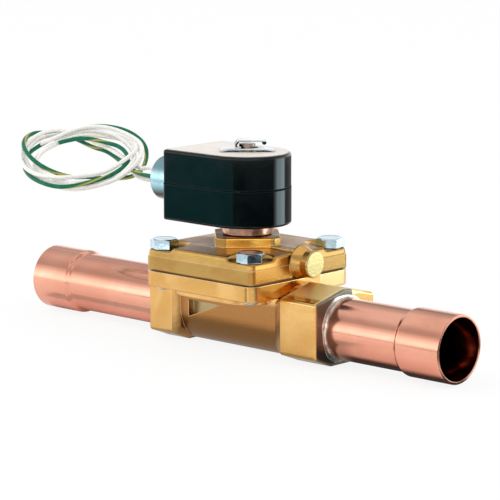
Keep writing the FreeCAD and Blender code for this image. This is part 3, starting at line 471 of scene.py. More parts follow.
FINISHES = (
    Finish("body_brass", (0.80, 0.49, 0.18), (0.72, 0.40, 0.12), 0.13, 0.08, grain=(420.0,) * 3,
           relief=0.00006, edge=0.0007, patina=38.0, crevice=0.0022, edge_highlight=(1.0, 0.86, 0.60), zones=(
               # Painted shade: the lower barrel darker, standing for the shaded floor that it reflects.
               Zone((-0.036, -0.0222, -0.001), (0.0475, 0.0222, 0.0316), (0.42, 0.20, 0.065), 0.24, 0.0020),
               # Painted shade inside the front recess, which is also rougher.
               Zone((-0.0285, -0.0172, 0.014), (0.0, -0.0148, 0.030), (0.46, 0.37, 0.19), 0.36, 0.0004),
               # Painted light on the outlet neck's roof: a paler tone, on a rougher surface.
               Zone((0.0478, -0.0222, 0.0385), (0.0742, 0.0222, 0.044), (1.0, 0.78, 0.38), 0.42, 0.0004),
               # Painted shade: the back part of the body flange's right face darker.
               Zone((0.0414, 0.015, 0.0345), (0.0434, 0.043, 0.045), (0.72, 0.49, 0.22), 0.30, 0.0004),
               Zone((0.0733, -0.024, 0.0012), (0.080, 0.006, 0.0425), (0.18, 0.16, 0.13), 0.34),
               Zone((-0.060, -0.024, 0.0012), (-0.0543, 0.024, 0.0425), (0.20, 0.17, 0.13), 0.34))),
    Finish("bonnet_brass", (0.55, 0.33, 0.10), (0.46, 0.26, 0.075), 0.28, 0.12, grain=(700.0,) * 3,
           relief=0.00010, edge=0.0010, patina=50.0, crevice=0.0020, upward=(0.44, 0.26, 0.12),
           edge_highlight=(0.92, 0.72, 0.40), zones=(
               Zone((-0.022, -0.022, 0.0603), (0.022, 0.022, 0.0652), (1.0, 0.50, 0.09), 0.22, 0.0002),
               # Painted shade on the right wall beside the boss: darker behind it, a deeper orange in front.
               Zone((0.0393, 0.0092, 0.044), (0.0422, 0.043, 0.059), (0.38, 0.21, 0.065), 0.30, 0.0003),
               Zone((0.0393, -0.043, 0.044), (0.0422, -0.0092, 0.059), (0.54, 0.26, 0.06), 0.30, 0.0003),
               # Painted light and shade on the boss: lit and shaded tones of the same brass for its side,
               # top band and end face.
               Zone((0.0385, -0.0085, 0.044), (0.0514, 0.0085, 0.063), (0.54, 0.30, 0.085), 0.26, 0.0005),
               Zone((0.0385, -0.0095, 0.059), (0.0514, 0.0095, 0.064), (0.78, 0.44, 0.12), 0.28, 0.0006),
               Zone((0.0515, -0.0085, 0.044), (0.053, 0.0085, 0.063), (0.50, 0.39, 0.17), 0.26, 0.0002))),
    Finish("turned_brass", (0.70, 0.38, 0.27), (0.56, 0.29, 0.20), 0.16, 0.08, grain=(60.0, 60.0, 4200.0),
           relief=0.00001, edge=0.0003, crevice=0.0015),
    Finish("copper", (0.93, 0.455, 0.325), (0.85, 0.385, 0.265), 0.11, 0.07, grain=(30.0, 900.0, 900.0),
           relief=0.000012, edge=0.0003, patina=22.0, hollow=(0.36, 0.11, 0.07)),
    Finish("braze", (0.74, 0.72, 0.66), (0.40, 0.35, 0.28), 0.20, 0.2, grain=(500.0,) * 3, relief=0.00008,
           patina=160.0, crevice=0.0010),
    Finish("zinc", (0.62, 0.80, 0.89), (0.48, 0.64, 0.73), 0.10, 0.08, grain=(700.0,) * 3, relief=0.00001,
           edge=0.0003, patina=120.0, crevice=0.0008, grime_and_shade=(0.03, 0.04, 0.04), edge_highlight=(1.0,) * 3, zones=(
               # Painted reflection: a dark top on the front right bolt.
               Zone((0.0265, -0.0407, 0.0622), (0.0407, -0.0265, 0.064), (0.1, 0.09, 0.1), 0.16, 0.0004),)),
    Finish("drawn_steel", (0.52, 0.42, 0.34), (0.38, 0.30, 0.24), 0.22, 0.1, grain=(900.0, 900.0, 60.0),
           relief=0.00001, edge=0.0002),
    Finish("core_steel", (0.34, 0.28, 0.24), (0.24, 0.19, 0.15), 0.24, 0.12, grain=(90.0, 90.0, 3000.0),
           relief=0.00001, edge=0.0002),
    Finish("clip_chrome", (0.70, 0.76, 0.80), (0.50, 0.54, 0.58), 0.08, 0.08, grain=(60.0, 60.0, 900.0),
           relief=0.000006, edge=0.00025, crevice=0.0060, grime_and_shade=(0.01, 0.012, 0.015), zones=(
               # Painted shade: a dark band across the clip, 116 to 119 mm up.
               Zone((-0.017, -0.017, 0.116), (0.017, 0.017, 0.119), (0.02, 0.03, 0.04), 0.20, 0.0002),)),
    Finish("gasket", (0.24, 0.15, 0.08), (0.17, 0.10, 0.05), 0.7, 0.1, metallic=0.0, relief=0.00006),
    Finish("white_plastic", (0.88, 0.87, 0.83), (0.80, 0.79, 0.74), 0.4, 0.1, metallic=0.0),
    Finish("coil_black", (0.001, 0.003, 0.0035), (0.002, 0.005, 0.006), 0.07, 0.03, metallic=0.0,
           grain=(1400.0,) * 3, relief=0.00001, edge=0.0006, patina=60.0, specular=0.35, zones=(
               # Painted reflection on the mould parting line: teal like the face's reflection on the left,
               # dark where the highlight strip falls.
               Zone((-0.045, -0.027, 0.0925), (0.0125, 0.027, 0.0935), (0.005, 0.019, 0.019), 0.8, 0.0003,
                    1.0),
               Zone((0.0135, -0.027, 0.0925), (0.027, 0.027, 0.0935), (0.003, 0.007, 0.007), 0.8, 0.0003,
                    1.0))),
    Finish("bobbin", (0.72, 0.69, 0.60), (0.62, 0.58, 0.48), 0.45, 0.1, metallic=0.0),
    Finish("winding", (0.55, 0.24, 0.10), (0.40, 0.16, 0.06), 0.3, 0.1, grain=(60.0, 60.0, 2500.0),
           relief=0.00008),
    Finish("cream_label", (0.84, 0.79, 0.74), (0.78, 0.72, 0.65), 0.42, 0.1, metallic=0.0, relief=0.00001,
           edge=0.0002, patina=70.0),
    Finish("zinc_hub", (0.50, 0.76, 0.84), (0.38, 0.62, 0.70), 0.22, 0.08, grain=(600.0,) * 3,
           relief=0.00004, edge=0.0006, patina=90.0, zones=(
               # Painted shade: the hub darker above and below its lighter middle band.
               Zone((-0.070, -0.016, 0.0985), (-0.038, 0.016, 0.110), (0.24, 0.42, 0.48), 0.26, 0.0030),
               Zone((-0.070, -0.016, 0.070), (-0.038, 0.016, 0.0865), (0.10, 0.19, 0.21), 0.26, 0.0040))),
    Finish("rubber", (0.02, 0.02, 0.02), (0.04, 0.04, 0.04), 0.6, 0.1, metallic=0.0))

FINISHED_NODES = {
    "body_brass": ["valve_body"], "bonnet_brass": ["bonnet"], "gasket": ["bonnet_gasket"],
    "copper": ["inlet_tube", "outlet_tube"], "drawn_steel": ["stem_tube"],
    "turned_brass": ["main_piston", "seat_disc_retainer", "pilot_seat", "stem_collar"],
    "white_plastic": ["piston_ring", "seat_disc", "collar_seal", "plunger_seal"],
    "core_steel": ["fixed_core", "plunger", "coil_yoke"], "winding": ["shading_ring", "coil_winding"],
    "coil_black": ["coil_housing"], "bobbin": ["coil_bobbin"], "cream_label": ["label_plate"],
    "zinc_hub": ["conduit_hub"], "rubber": ["lead_grommet"], "clip_chrome": ["retaining_clip"],
}


@dataclass
class SkyPatch:
    """Soft bright or dark patch of the surroundings that metal reflects, its two radii in degrees."""

    towards: Triple
    outer: float
    inner: float
    gain: float

    def add(self, web: Web, direction: Socket) -> Socket:
        """Adds the patch.

        Args:
            web: the world's web.
            direction: the socket of the direction looked in.

        Returns:
            The light that the patch adds there.
        """
        lean = web.dot(direction, tuple(Vector(self.towards).normalized()))
        outer, inner = (math.cos(math.radians(angle)) for angle in (self.outer, self.inner))
        return web.span(lean, outer, inner, 0.0, self.gain)


@dataclass
class Card:
    """Flat card with soft borders that stands beside the object and shows in reflections alone."""

    name: str
    centre: Triple
    size: tuple[float, float]
    level: float
    soft: tuple[float, float]
    upright: bool = False
    heading: float = 0.0
    tint: Colour = (1.0, 1.0, 1.0)

    def outline(self) -> tuple[np.ndarray, np.ndarray]:
        """Lays the card flat along a heading in degrees, or stands it across that heading.

        Returns:
            Its points and their places on the card in metres, both by row and column.
        """
        turn = math.radians(self.heading)
        along = np.array([math.cos(turn), math.sin(turn), 0.0])
        across = np.array([0.0, 0.0, 1.0] if self.upright else [-math.sin(turn), math.cos(turn), 0.0])
        signs = np.array([[(-1, -1), (1, -1)], [(-1, 1), (1, 1)]]) * np.array(self.size) / 2
        return np.array(self.centre) + signs @ np.array([along, across]), signs

    def build(self) -> Piece:
        """Makes the card.

        Returns:
            The card, hidden from the camera and from all light but reflections.
        """
        points, places = self.outline()
        grid = np.arange(points.shape[0] * points.shape[1]).reshape(points.shape[:2])
        faces = np.stack([grid[:-1, :-1], grid[:-1, 1:], grid[1:, 1:], grid[1:, :-1]], axis=-1)
        mesh = bpy.data.meshes.new(self.name)
        mesh.from_pydata(points.reshape(-1, 3).tolist(), [], faces.reshape(-1, 4).tolist())
        layer = mesh.uv_layers.new(name="metres")
        layer.data.foreach_set("uv", places.reshape(-1, 2)[faces.ravel()].ravel())
        card = add_object(self.name, mesh)
        card.visible_camera = card.visible_diffuse = card.visible_shadow = False
        card.visible_volume_scatter = False
        mesh.materials.append(self._material())
        return card

    def _material(self) -> Material:
        """Makes the card's plain glow, which fades out towards its borders.

        Returns:
            The material, see-through where the glow has faded.
        """
        material, web = start_material(self.name)
        parts = web.add("SeparateXYZ", {0: web.add("TexCoord").outputs["UV"]}).outputs
        cover = web.product([web.span(web.math("ABSOLUTE", part), size / 2 - soft, size / 2, 1.0, 0.0)
                             for part, size, soft in zip(parts, self.size, self.soft)])
        glow = web.add("Emission", {"Color": rgba(self.tint), "Strength": self.level})
        clear = web.add("BsdfTransparent")
        mixed = web.add("MixShader", {0: cover, 1: clear.outputs[0], 2: glow.outputs[0]})
        web.end(mixed)
        return material


@dataclass
class Sector(Card):
    """Card in the form of a ring's sector: its size is its middle arc's length and its depth."""

    reach: float = 0.5
    steps: int = 24

    def outline(self) -> tuple[np.ndarray, np.ndarray]:
        """Bends the card about its centre: the heading is its middle, the reach its middle radius.

        Returns:
            Its points and their places on the card in metres, both by row and column.
        """
        arc = np.linspace(-self.size[0] / 2, self.size[0] / 2, self.steps)
        depth = np.array([self.size[1] / 2, -self.size[1] / 2])
        places = np.stack(np.meshgrid(arc, depth), axis=-1)
        turn = math.radians(self.heading) + places[..., 0] / self.reach
        spokes = np.stack([np.cos(turn), np.sin(turn), 0 * turn], axis=-1)
        return np.array(self.centre) + (self.reach + places[..., 1])[..., None] * spokes, places


@dataclass
class Lamp:
    """Soft rectangular lamp: its place, its width and height in metres and its power in watts."""

    name: str
    place: Triple
    size: tuple[float, float]
    power: float
    aim: Triple = (0.0, 0.0, 0.06)

    def hang(self) -> None:
        """Hangs the lamp, turned to its aim, and keeps it out of reflections."""
        data = bpy.data.lights.new(self.name, "AREA")
        data.shape = "RECTANGLE"
        data.size, data.size_y = self.size
        data.energy = self.power
        lamp = add_object(self.name, data)
        lamp.visible_glossy = False
        lamp.location = self.place
        lamp.rotation_mode = "QUATERNION"
        lamp.rotation_quaternion = (Vector(self.aim) - Vector(self.place)).to_track_quat("-Z", "Y")


@dataclass
class Studio:
    """Camera, floor and plain soft light.

    The picture is square. Its side, the focal length and how far the aim lies from its middle are in
    pixels, the sensor is in millimetres, and other lengths are in metres. The sky gives the light by the
    rise of the direction looked in.
    """

    place: Triple = (0.8943, -0.9687, 0.2889)
    aim: Triple = (0.0, 0.0, 0.020)
    picture: float = 500.0
    focal: float = 2328.8
    aside: float = 2.7
    above: float = 60.66
    sensor: float = 36.0
    far: float = 20.0
    floor_size: float = 6.0
    floor_level: float = -0.0002
    floor_tone: float = 0.93
    floor_glow: float = 0.88
    even_level: float = 1.0
    darkest: float = 0.02
    sky: tuple[tuple[float, float], ...] = (
        (-1.0, 0.9), (-0.06, 1.5), (0.03, 1.80), (0.13, 1.95), (0.27, 1.50), (0.42, 0.88), (0.54, 0.52),
        (0.62, 0.58), (0.76, 0.86), (1.0, 0.88))
    patches: tuple[SkyPatch, ...] = (
        SkyPatch((1.0, 0.12, 0.1), 30.0, 12.0, -1.2),
        SkyPatch((-0.67, 0.74, 0.13), 27.0, 8.0, -0.80))
    cards: tuple[Card, ...] = (
        # under_tubes and under_body are a painted shadow: they darken the floor that the tubes and the body
        # reflect.
        Card("under_tubes", (0.128, 0.002, 0.0003), (0.156, 0.036), 0.05, (0.006, 0.006)),
        Card("under_body", (0.010, -0.012, 0.0004), (0.15, 0.085), 0.42, (0.020, 0.020)),
        Card("front_glow", (-0.035, -0.175, 0.0002), (0.30, 0.17), 1.12, (0.060, 0.050)),
        Card("left_front", (-0.105, -0.0245, 0.0003), (0.13, 0.014), 0.55, (0.010, 0.004)),
        Card("right_floor", (0.40, 0.02, 0.0003), (0.44, 0.20), 0.04, (0.030, 0.030)),
        Card("bright_floor", (0.182, 0.180, 0.0003), (0.06, 0.08), 1.4, (0.015, 0.015)),
        Card("coil_strip", (0.244, 0.264, 0.036), (0.26, 0.080), 4.5, (0.060, 0.008), upright=True,
             heading=137.3, tint=(0.80, 1.0, 1.05)),
        Card("coil_front", (-0.456, -0.494, 0.0006), (0.56, 0.120), 0.40, (0.030, 0.012), heading=-132.7,
             tint=(0.20, 0.95, 0.95)),
        Sector("coil_turn", (0.0, 0.0, 0.0007), (0.63, 0.46), 0.40, (0.08, 0.030), heading=-109.0,
               reach=0.63, tint=(0.20, 0.95, 0.95)),
        Card("bolt_front", (0.318, -0.108, 0.0007), (0.13, 0.10), 0.01, (0.010, 0.010)),
        Sector("bolt_glint", (-0.034, -0.034, 0.0009), (0.070, 0.12), 2.4, (0.020, 0.030), heading=-63.3,
               reach=0.300),
        Sector("coil_round", (0.0, 0.0, 0.0005), (1.78, 0.52), 0.02, (0.040, 0.030), heading=-54.5,
               reach=0.62),
        Sector("coil_back", (0.0, 0.0, 0.0004), (0.76, 0.52), 0.25, (0.060, 0.030), heading=99.0,
               reach=0.62),
        Sector("flange_corner", (0.035, -0.035, 0.0004), (0.090, 0.080), 0.02, (0.004, 0.006),
               heading=-93.0, reach=0.205))
    lamps: tuple[Lamp, ...] = (
        Lamp("key", (-0.9, -1.1, 1.5), (1.2, 1.0), 7.0),
        Lamp("fill", (1.6, 0.3, 1.2), (0.6, 1.0), 3.0))

    def build_camera(self) -> None:
        """Sets the camera where the photograph was taken, turned so that its aim falls as there."""
        data = bpy.data.cameras.new("camera")
        data.sensor_width = self.sensor
        data.lens = self.sensor * self.focal / self.picture
        data.clip_end = self.far
        camera = add_object("camera", data)
        bpy.context.scene.camera = camera
        ahead = (Vector(self.aim) - Vector(self.place)).normalized()
        right = ahead.cross(Vector((0, 0, 1))).normalized()
        up = right.cross(ahead)
        ahead = ahead + right * (self.aside / self.focal) + up * (self.above / self.focal)
        camera.location = self.place
        camera.rotation_mode = "QUATERNION"
        camera.rotation_quaternion = ahead.to_track_quat("-Z", "Y")

    def build_world(self) -> None:
        """Makes the world: white to the camera, banded to reflections, one even level to all else."""
        world = bpy.data.worlds.new("studio")
        bpy.context.scene.world = world
        world.use_nodes = True
        web = Web(world.node_tree)
        direction = web.add("TexCoord").outputs["Generated"]
        height = web.dot(direction, (0.0, 0.0, 1.0))
        bands = web.add("ValToRGB", {"Fac": web.span(height, -1.0, 1.0, kind="LINEAR")})
        ramp = bands.color_ramp
        ramp.interpolation = "EASE"
        while len(ramp.elements) < len(self.sky):
            ramp.elements.new(0.5)
        for element, (rise, light) in zip(ramp.elements, self.sky):
            element.position = (rise + 1) / 2
            element.color = rgba((light / 2,) * 3)
        level = web.math("MULTIPLY", bands.outputs[0], 2.0)
        for patch in self.patches:
            level = web.math("ADD", level, patch.add(web, direction))
        path = web.add("LightPath").outputs
        mirrored = web.math("MAXIMUM", path["Is Glossy Ray"], path["Is Transmission Ray"])
        even, seen, white = (
            web.add("Background", {"Color": WHITE, "Strength": strength}).outputs[0]
            for strength in (self.even_level, web.math("MAXIMUM", level, self.darkest), 1.0))
        reflect = web.add("MixShader", {0: mirrored, 1: even, 2: seen})
        final = web.add("MixShader", {0: path["Is Camera Ray"], 1: reflect.outputs[0], 2: white})
        web.end(final, "OutputWorld")

    def build_cards(self) -> None:
        """Stands the dark and bright cards that only reflections see."""
        for card in self.cards:
            card.build()

    def build_floor(self) -> None:
        """Lays a pale floor that keeps a faint shadow: a white glow seen by the camera thins it."""
        half = self.floor_size / 2
        corners = [(-half, -half), (half, -half), (half, half), (-half, half)]
        mesh = bpy.data.meshes.new("floor")
        mesh.from_pydata([(*corner, self.floor_level) for corner in corners], [], [(0, 1, 2, 3)])
        floor = add_object("floor", mesh)
        material, web = start_material("floor_white")
        pale = web.add("BsdfDiffuse", {"Color": rgba((self.floor_tone,) * 3)})
        glow = web.add("Emission", {"Color": WHITE, "Strength": 1.0})
        path = web.add("LightPath")
        share = web.math("MULTIPLY", path.outputs["Is Camera Ray"], self.floor_glow)
        mixed = web.add("MixShader", {0: share, 1: pale.outputs[0], 2: glow.outputs[0]})
        web.end(mixed)
        mesh.materials.append(material)

    def build_lamps(self) -> None:
        """Hangs the key and the fill."""
        for lamp in self.lamps:
            lamp.hang()


def full_turn(count: int) -> np.ndarray:
    """Returns even angles round a full turn, the first at 0."""
    return np.linspace(0.0, 2 * math.pi, count, endpoint=False)


def node_box(node: str) -> tuple[np.ndarray, np.ndarray]:
    """Returns the lowest and highest corner of a CAD node in millimetres."""
    return tuple(np.array(corner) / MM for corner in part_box(node))


@dataclass
class Surface:
    """Closed surface: its points, its faces and whether each face is shaded smooth."""

    points: np.ndarray
    faces: list[list[int]]
    smooth: list[bool]


def capped(rings: np.ndarray, low: Triple, high: Triple, smooth_rows: int) -> Surface:
    """Skins rings that run anticlockwise from the lowest up, and closes each end on a point.

    Args:
        rings: points by ring and by place on it, of the shape (rows, columns, 3).
        low: the point below the first ring.
        high: the point above the last ring.
        smooth_rows: how many rows of faces are shaded smooth, from the lowest up.

    Returns:
        The closed surface.
    """
    rows, columns = rings.shape[:2]
    grid = np.arange(rows * columns).reshape(rows, columns)
    beside = np.roll(grid, -1, axis=1)
    sides = np.stack([grid[:-1], beside[:-1], beside[1:], grid[1:]], axis=-1).reshape(-1, 4)
    below, above = np.full(columns, grid.size), np.full(columns, grid.size + 1)
    foot = np.stack([below, beside[0], grid[0]], axis=-1)
    top = np.stack([above, grid[-1], beside[-1]], axis=-1)
    faces = sides.tolist() + foot.tolist() + top.tolist()
    smooth = [True] * (smooth_rows * columns) + [False] * ((rows + 1 - smooth_rows) * columns)
    return Surface(np.vstack([rings.reshape(-1, 3), low, high]), faces, smooth)


def looped(rings: np.ndarray) -> Surface:
    """Skins rings of which the last joins the first, as on a bead that runs round a tube.

    Args:
        rings: points by ring and by place on it, of the shape (rows, columns, 3).

    Returns:
        The closed surface.
    """
    grid = np.arange(rings.shape[0] * rings.shape[1]).reshape(rings.shape[:2])
    beside = np.roll(grid, -1, axis=1)
    faces = np.stack([grid, beside, np.roll(beside, -1, axis=0), np.roll(grid, -1, axis=0)], axis=-1)
    return Surface(rings.reshape(-1, 3), faces.reshape(-1, 4).tolist(), [True] * grid.size)


def make_piece(name: str, surfaces: list[Surface], material: Material, slot: Slot,
               body: Body, *nodes: str) -> Piece:
    """Makes one piece of surfaces in millimetres and ties it to the model.

    Args:
        name: name of the piece.
        surfaces: its closed surfaces.
        material: its finish.
        slot: its material slot; not used.
        body: the body that it rides on.
        nodes: the CAD nodes that it replaces.

    Returns:
        The new object.
    """
    starts = np.cumsum([0] + [len(surface.points) for surface in surfaces]).tolist()
    faces = [[start + index for index in face] for start, surface in zip(starts, surfaces)
             for face in surface.faces]
    mesh = bpy.data.meshes.new(name)
    mesh.from_pydata((np.vstack([surface.points for surface in surfaces]) * MM).tolist(), [], faces)
    mesh.polygons.foreach_set("use_smooth", [flag for surface in surfaces for flag in surface.smooth])
    mesh.materials.append(material)
    piece = add_object(name, mesh)
    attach(piece, body.value)
    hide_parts(*nodes)
    LOG.info("made %s: %d faces", name, len(mesh.polygons))
    return piece


@dataclass
class HexBolts:
    """The bonnet's four hexagon head bolts, with turned chamfers, washer faces and cut threads.

    Sizes are in millimetres. The thread is cut back by taper at the tip. The washer face, the crown and
    the rim of the dish in it are given as parts of the width across flats; the rim lies lower than the
    crown by sunk, and the middle by centre. Each head stands at the turn, in degrees, at which it was
    tightened.
    """

    across: float = 14.3
    head: float = 5.9
    shank: float = 9.5
    pitch: float = 1.59
    depth: float = 0.5
    thread: float = 12.0
    taper: float = 0.9
    seat: float = 0.02
    washer: float = 0.4
    face: float = 0.95
    crown: float = 0.93
    dish: float = 0.6696
    sunk: float = 0.12
    centre: float = 0.14
    spacing: float = 67.2
    turns: dict[tuple[int, int], float] = field(default_factory=lambda: {
        (-1, -1): -25.3, (1, -1): -1.0, (1, 1): -20.8, (-1, 1): 5.0})
    columns: int = 72
    rows_per_pitch: int = 8

    def hexagon(self, angles: np.ndarray) -> np.ndarray:
        """Returns the head's radius by angle, (across / 2) / cos(angle mod 60° - 30°)."""
        return self.across / 2 / np.cos(np.mod(angles, math.radians(60.0)) - math.radians(30.0))

    def profile(self, tip: float, top: float) -> tuple[np.ndarray, np.ndarray, int]:
        """Works out one bolt's radius and height over its rows and angles.

        The thread's radius is r - depth * |2 frac(z / pitch - angle / 2 pi) - 1|, kept inside the
        tip's chamfer; the head's top is cut by a cone of 30 degrees.

        Args:
            tip: height of the bolt's lower end.
            top: height of the top of its head.

        Returns:
            The radii, the heights and the number of thread rows.
        """
        angles = full_turn(self.columns)
        floor = top - self.head
        turns = np.arange(0.0, self.thread, self.pitch / self.rows_per_pitch)[:, None]
        tooth = np.abs(2 * np.mod(turns / self.pitch - angles / (2 * math.pi), 1.0) - 1)
        thread = np.minimum(self.shank / 2 - self.depth * tooth, self.shank / 2 - self.taper + turns)
        edge = self.hexagon(angles)
        ring = np.ones(self.columns)
        face, crown, dish = (part * self.across / 2 * ring for part in (self.face, self.crown, self.dish))
        slope = (edge - crown) * math.tan(math.radians(30.0))
        under = (floor + self.washer) * ring
        radii = np.vstack([thread, self.shank / 2 * ring, face, face, edge, edge, crown, dish])
        heights = np.vstack([tip + turns * ring, (floor - self.seat) * ring, floor * ring, under, under,
                             top - slope, top * ring, (top - self.sunk) * ring])
        return radii, heights, len(turns)

    def build(self, material: Material) -> Piece:
        """Makes the bolts between the lowest tip and the highest head of the model's bolts.

        Args:
            material: their finish.

        Returns:
            One piece of four bolts.
        """
        tip, top = (corner[2] for corner in node_box("bonnet_bolts"))
        radii, heights, smooth_rows = self.profile(tip, top)
        bolts = []
        for (side_x, side_y), turn in self.turns.items():
            angles = full_turn(self.columns) + math.radians(turn)
            x, y = side_x * self.spacing / 2, side_y * self.spacing / 2
            rings = np.stack([x + radii * np.cos(angles), y + radii * np.sin(angles), heights], axis=-1)
            bolts.append(capped(rings, (x, y, tip), (x, y, top - self.centre), smooth_rows))
        return make_piece("hex_bolts", bolts, material, Slot.ZINC, Body.VALVE, "bonnet_bolts")


@dataclass
class BrazeBead:
    """Uneven fillet of brazing alloy round a tube at its neck. Sizes are in millimetres.

    The fillet stays above the lowest point of the ring that it replaces. Steep, a sine, keeps that
    limit finite where the fillet points sideways or up.
    """

    node: str
    side: int
    axis_height: float = 20.0
    tube: float = 34.9
    height: float = 2.3
    length: float = 1.2
    uneven: float = 0.22
    sunk: float = 0.25
    steep: float = 0.2
    columns: int = 180
    section: int = 9

    def build(self, material: Material) -> Piece:
        """Carries the fillet's section round the tube.

        The section runs along the tube, up a hollow quarter of an ellipse to the neck's end face and
        back down it. Its size changes round the tube as 1 + uneven * (sin 3a + sin 7a / 2 + sin 13a / 3).

        Args:
            material: its finish.

        Returns:
            The bead, of which the side +1 lies at the outlet and -1 at the inlet.
        """
        low, high = node_box(self.node)
        face = low[0] if self.side > 0 else high[0]
        floor = self.axis_height - low[2]
        around = full_turn(self.columns)[:, None]
        waves = np.sin(3 * around + self.side) + np.sin(7 * around) / 2 + np.sin(13 * around + 1) / 3
        size = 1 + self.uneven * waves
        down = np.maximum(-np.sin(around), self.steep)
        height = np.minimum(self.height * size, floor / down - self.tube / 2)
        sweep = np.linspace(0.0, math.pi / 2, self.section)
        out = self.length * size * (1 - np.sin(sweep))
        rise = height * (1 - np.cos(sweep))
        inside = np.full_like(around, -self.sunk)
        along = np.hstack([inside, out, inside])
        radius = self.tube / 2 + np.hstack([inside, rise, height])
        radius[:, 1] -= self.sunk
        rings = np.stack([face + self.side * along, radius * np.cos(around),
                          self.axis_height + radius * np.sin(around)], axis=-1)
        if self.side < 0:
            rings = rings[:, ::-1]
        name = self.node.replace("ring", "bead")
        return make_piece(name, [looped(rings)], material, Slot.BRAZE, Body.VALVE, self.node)


@dataclass
class CoilSpring:
    """Compression spring with a closed turn at each end. Sizes are in millimetres.
    """

    node: str
    joint: str
    travel: float
    wire: float
    turns: int
    gap: float = 0.1
    steps: int = 24
    section: int = 10

    def build(self, material: Material) -> Piece:
        """Carries the wire's round section along the helix, inside the box of the model's spring.

        The height rises by wire + gap over each end turn, and evenly over the open turns between.

        Args:
            material: its finish.

        Returns:
            The spring.
        """
        low, high = node_box(self.node)
        radius = high[0] - self.wire / 2
        foot, top = low[2] + self.wire / 2, high[2] - self.wire / 2
        closed = self.wire + self.gap
        place = np.linspace(0.0, self.turns + 2, self.steps * (self.turns + 2) + 1)[:, None]
        height = np.interp(place, [0, 1, self.turns + 1, self.turns + 2],
                           [foot, foot + closed, top - closed, top])
        around = full_turn(self.section)
        reach = radius + self.wire / 2 * np.cos(around)
        turn = 2 * math.pi * place
        rings = np.stack([reach * np.cos(turn), reach * np.sin(turn),
                          height - self.wire / 2 * np.sin(around)], axis=-1)
        wire = capped(rings, (radius, 0.0, foot), (radius, 0.0, top), len(rings) - 1)
        name = self.node.replace("spring", "coil_spring")
        spring = make_piece(name, [wire], material, Slot.SPRING, Body.VALVE, self.node)
        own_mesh(spring)
        return spring


@dataclass
class Lead:
    """One wire lead: straight out of the grommet, then loose turns round the loop's centre."""

    name: str
    slot: Slot
    replaces: tuple[str, ...]
    start: Route
    first_angle: float
    radii: list[float]
    lifts: list[float]
    length: float


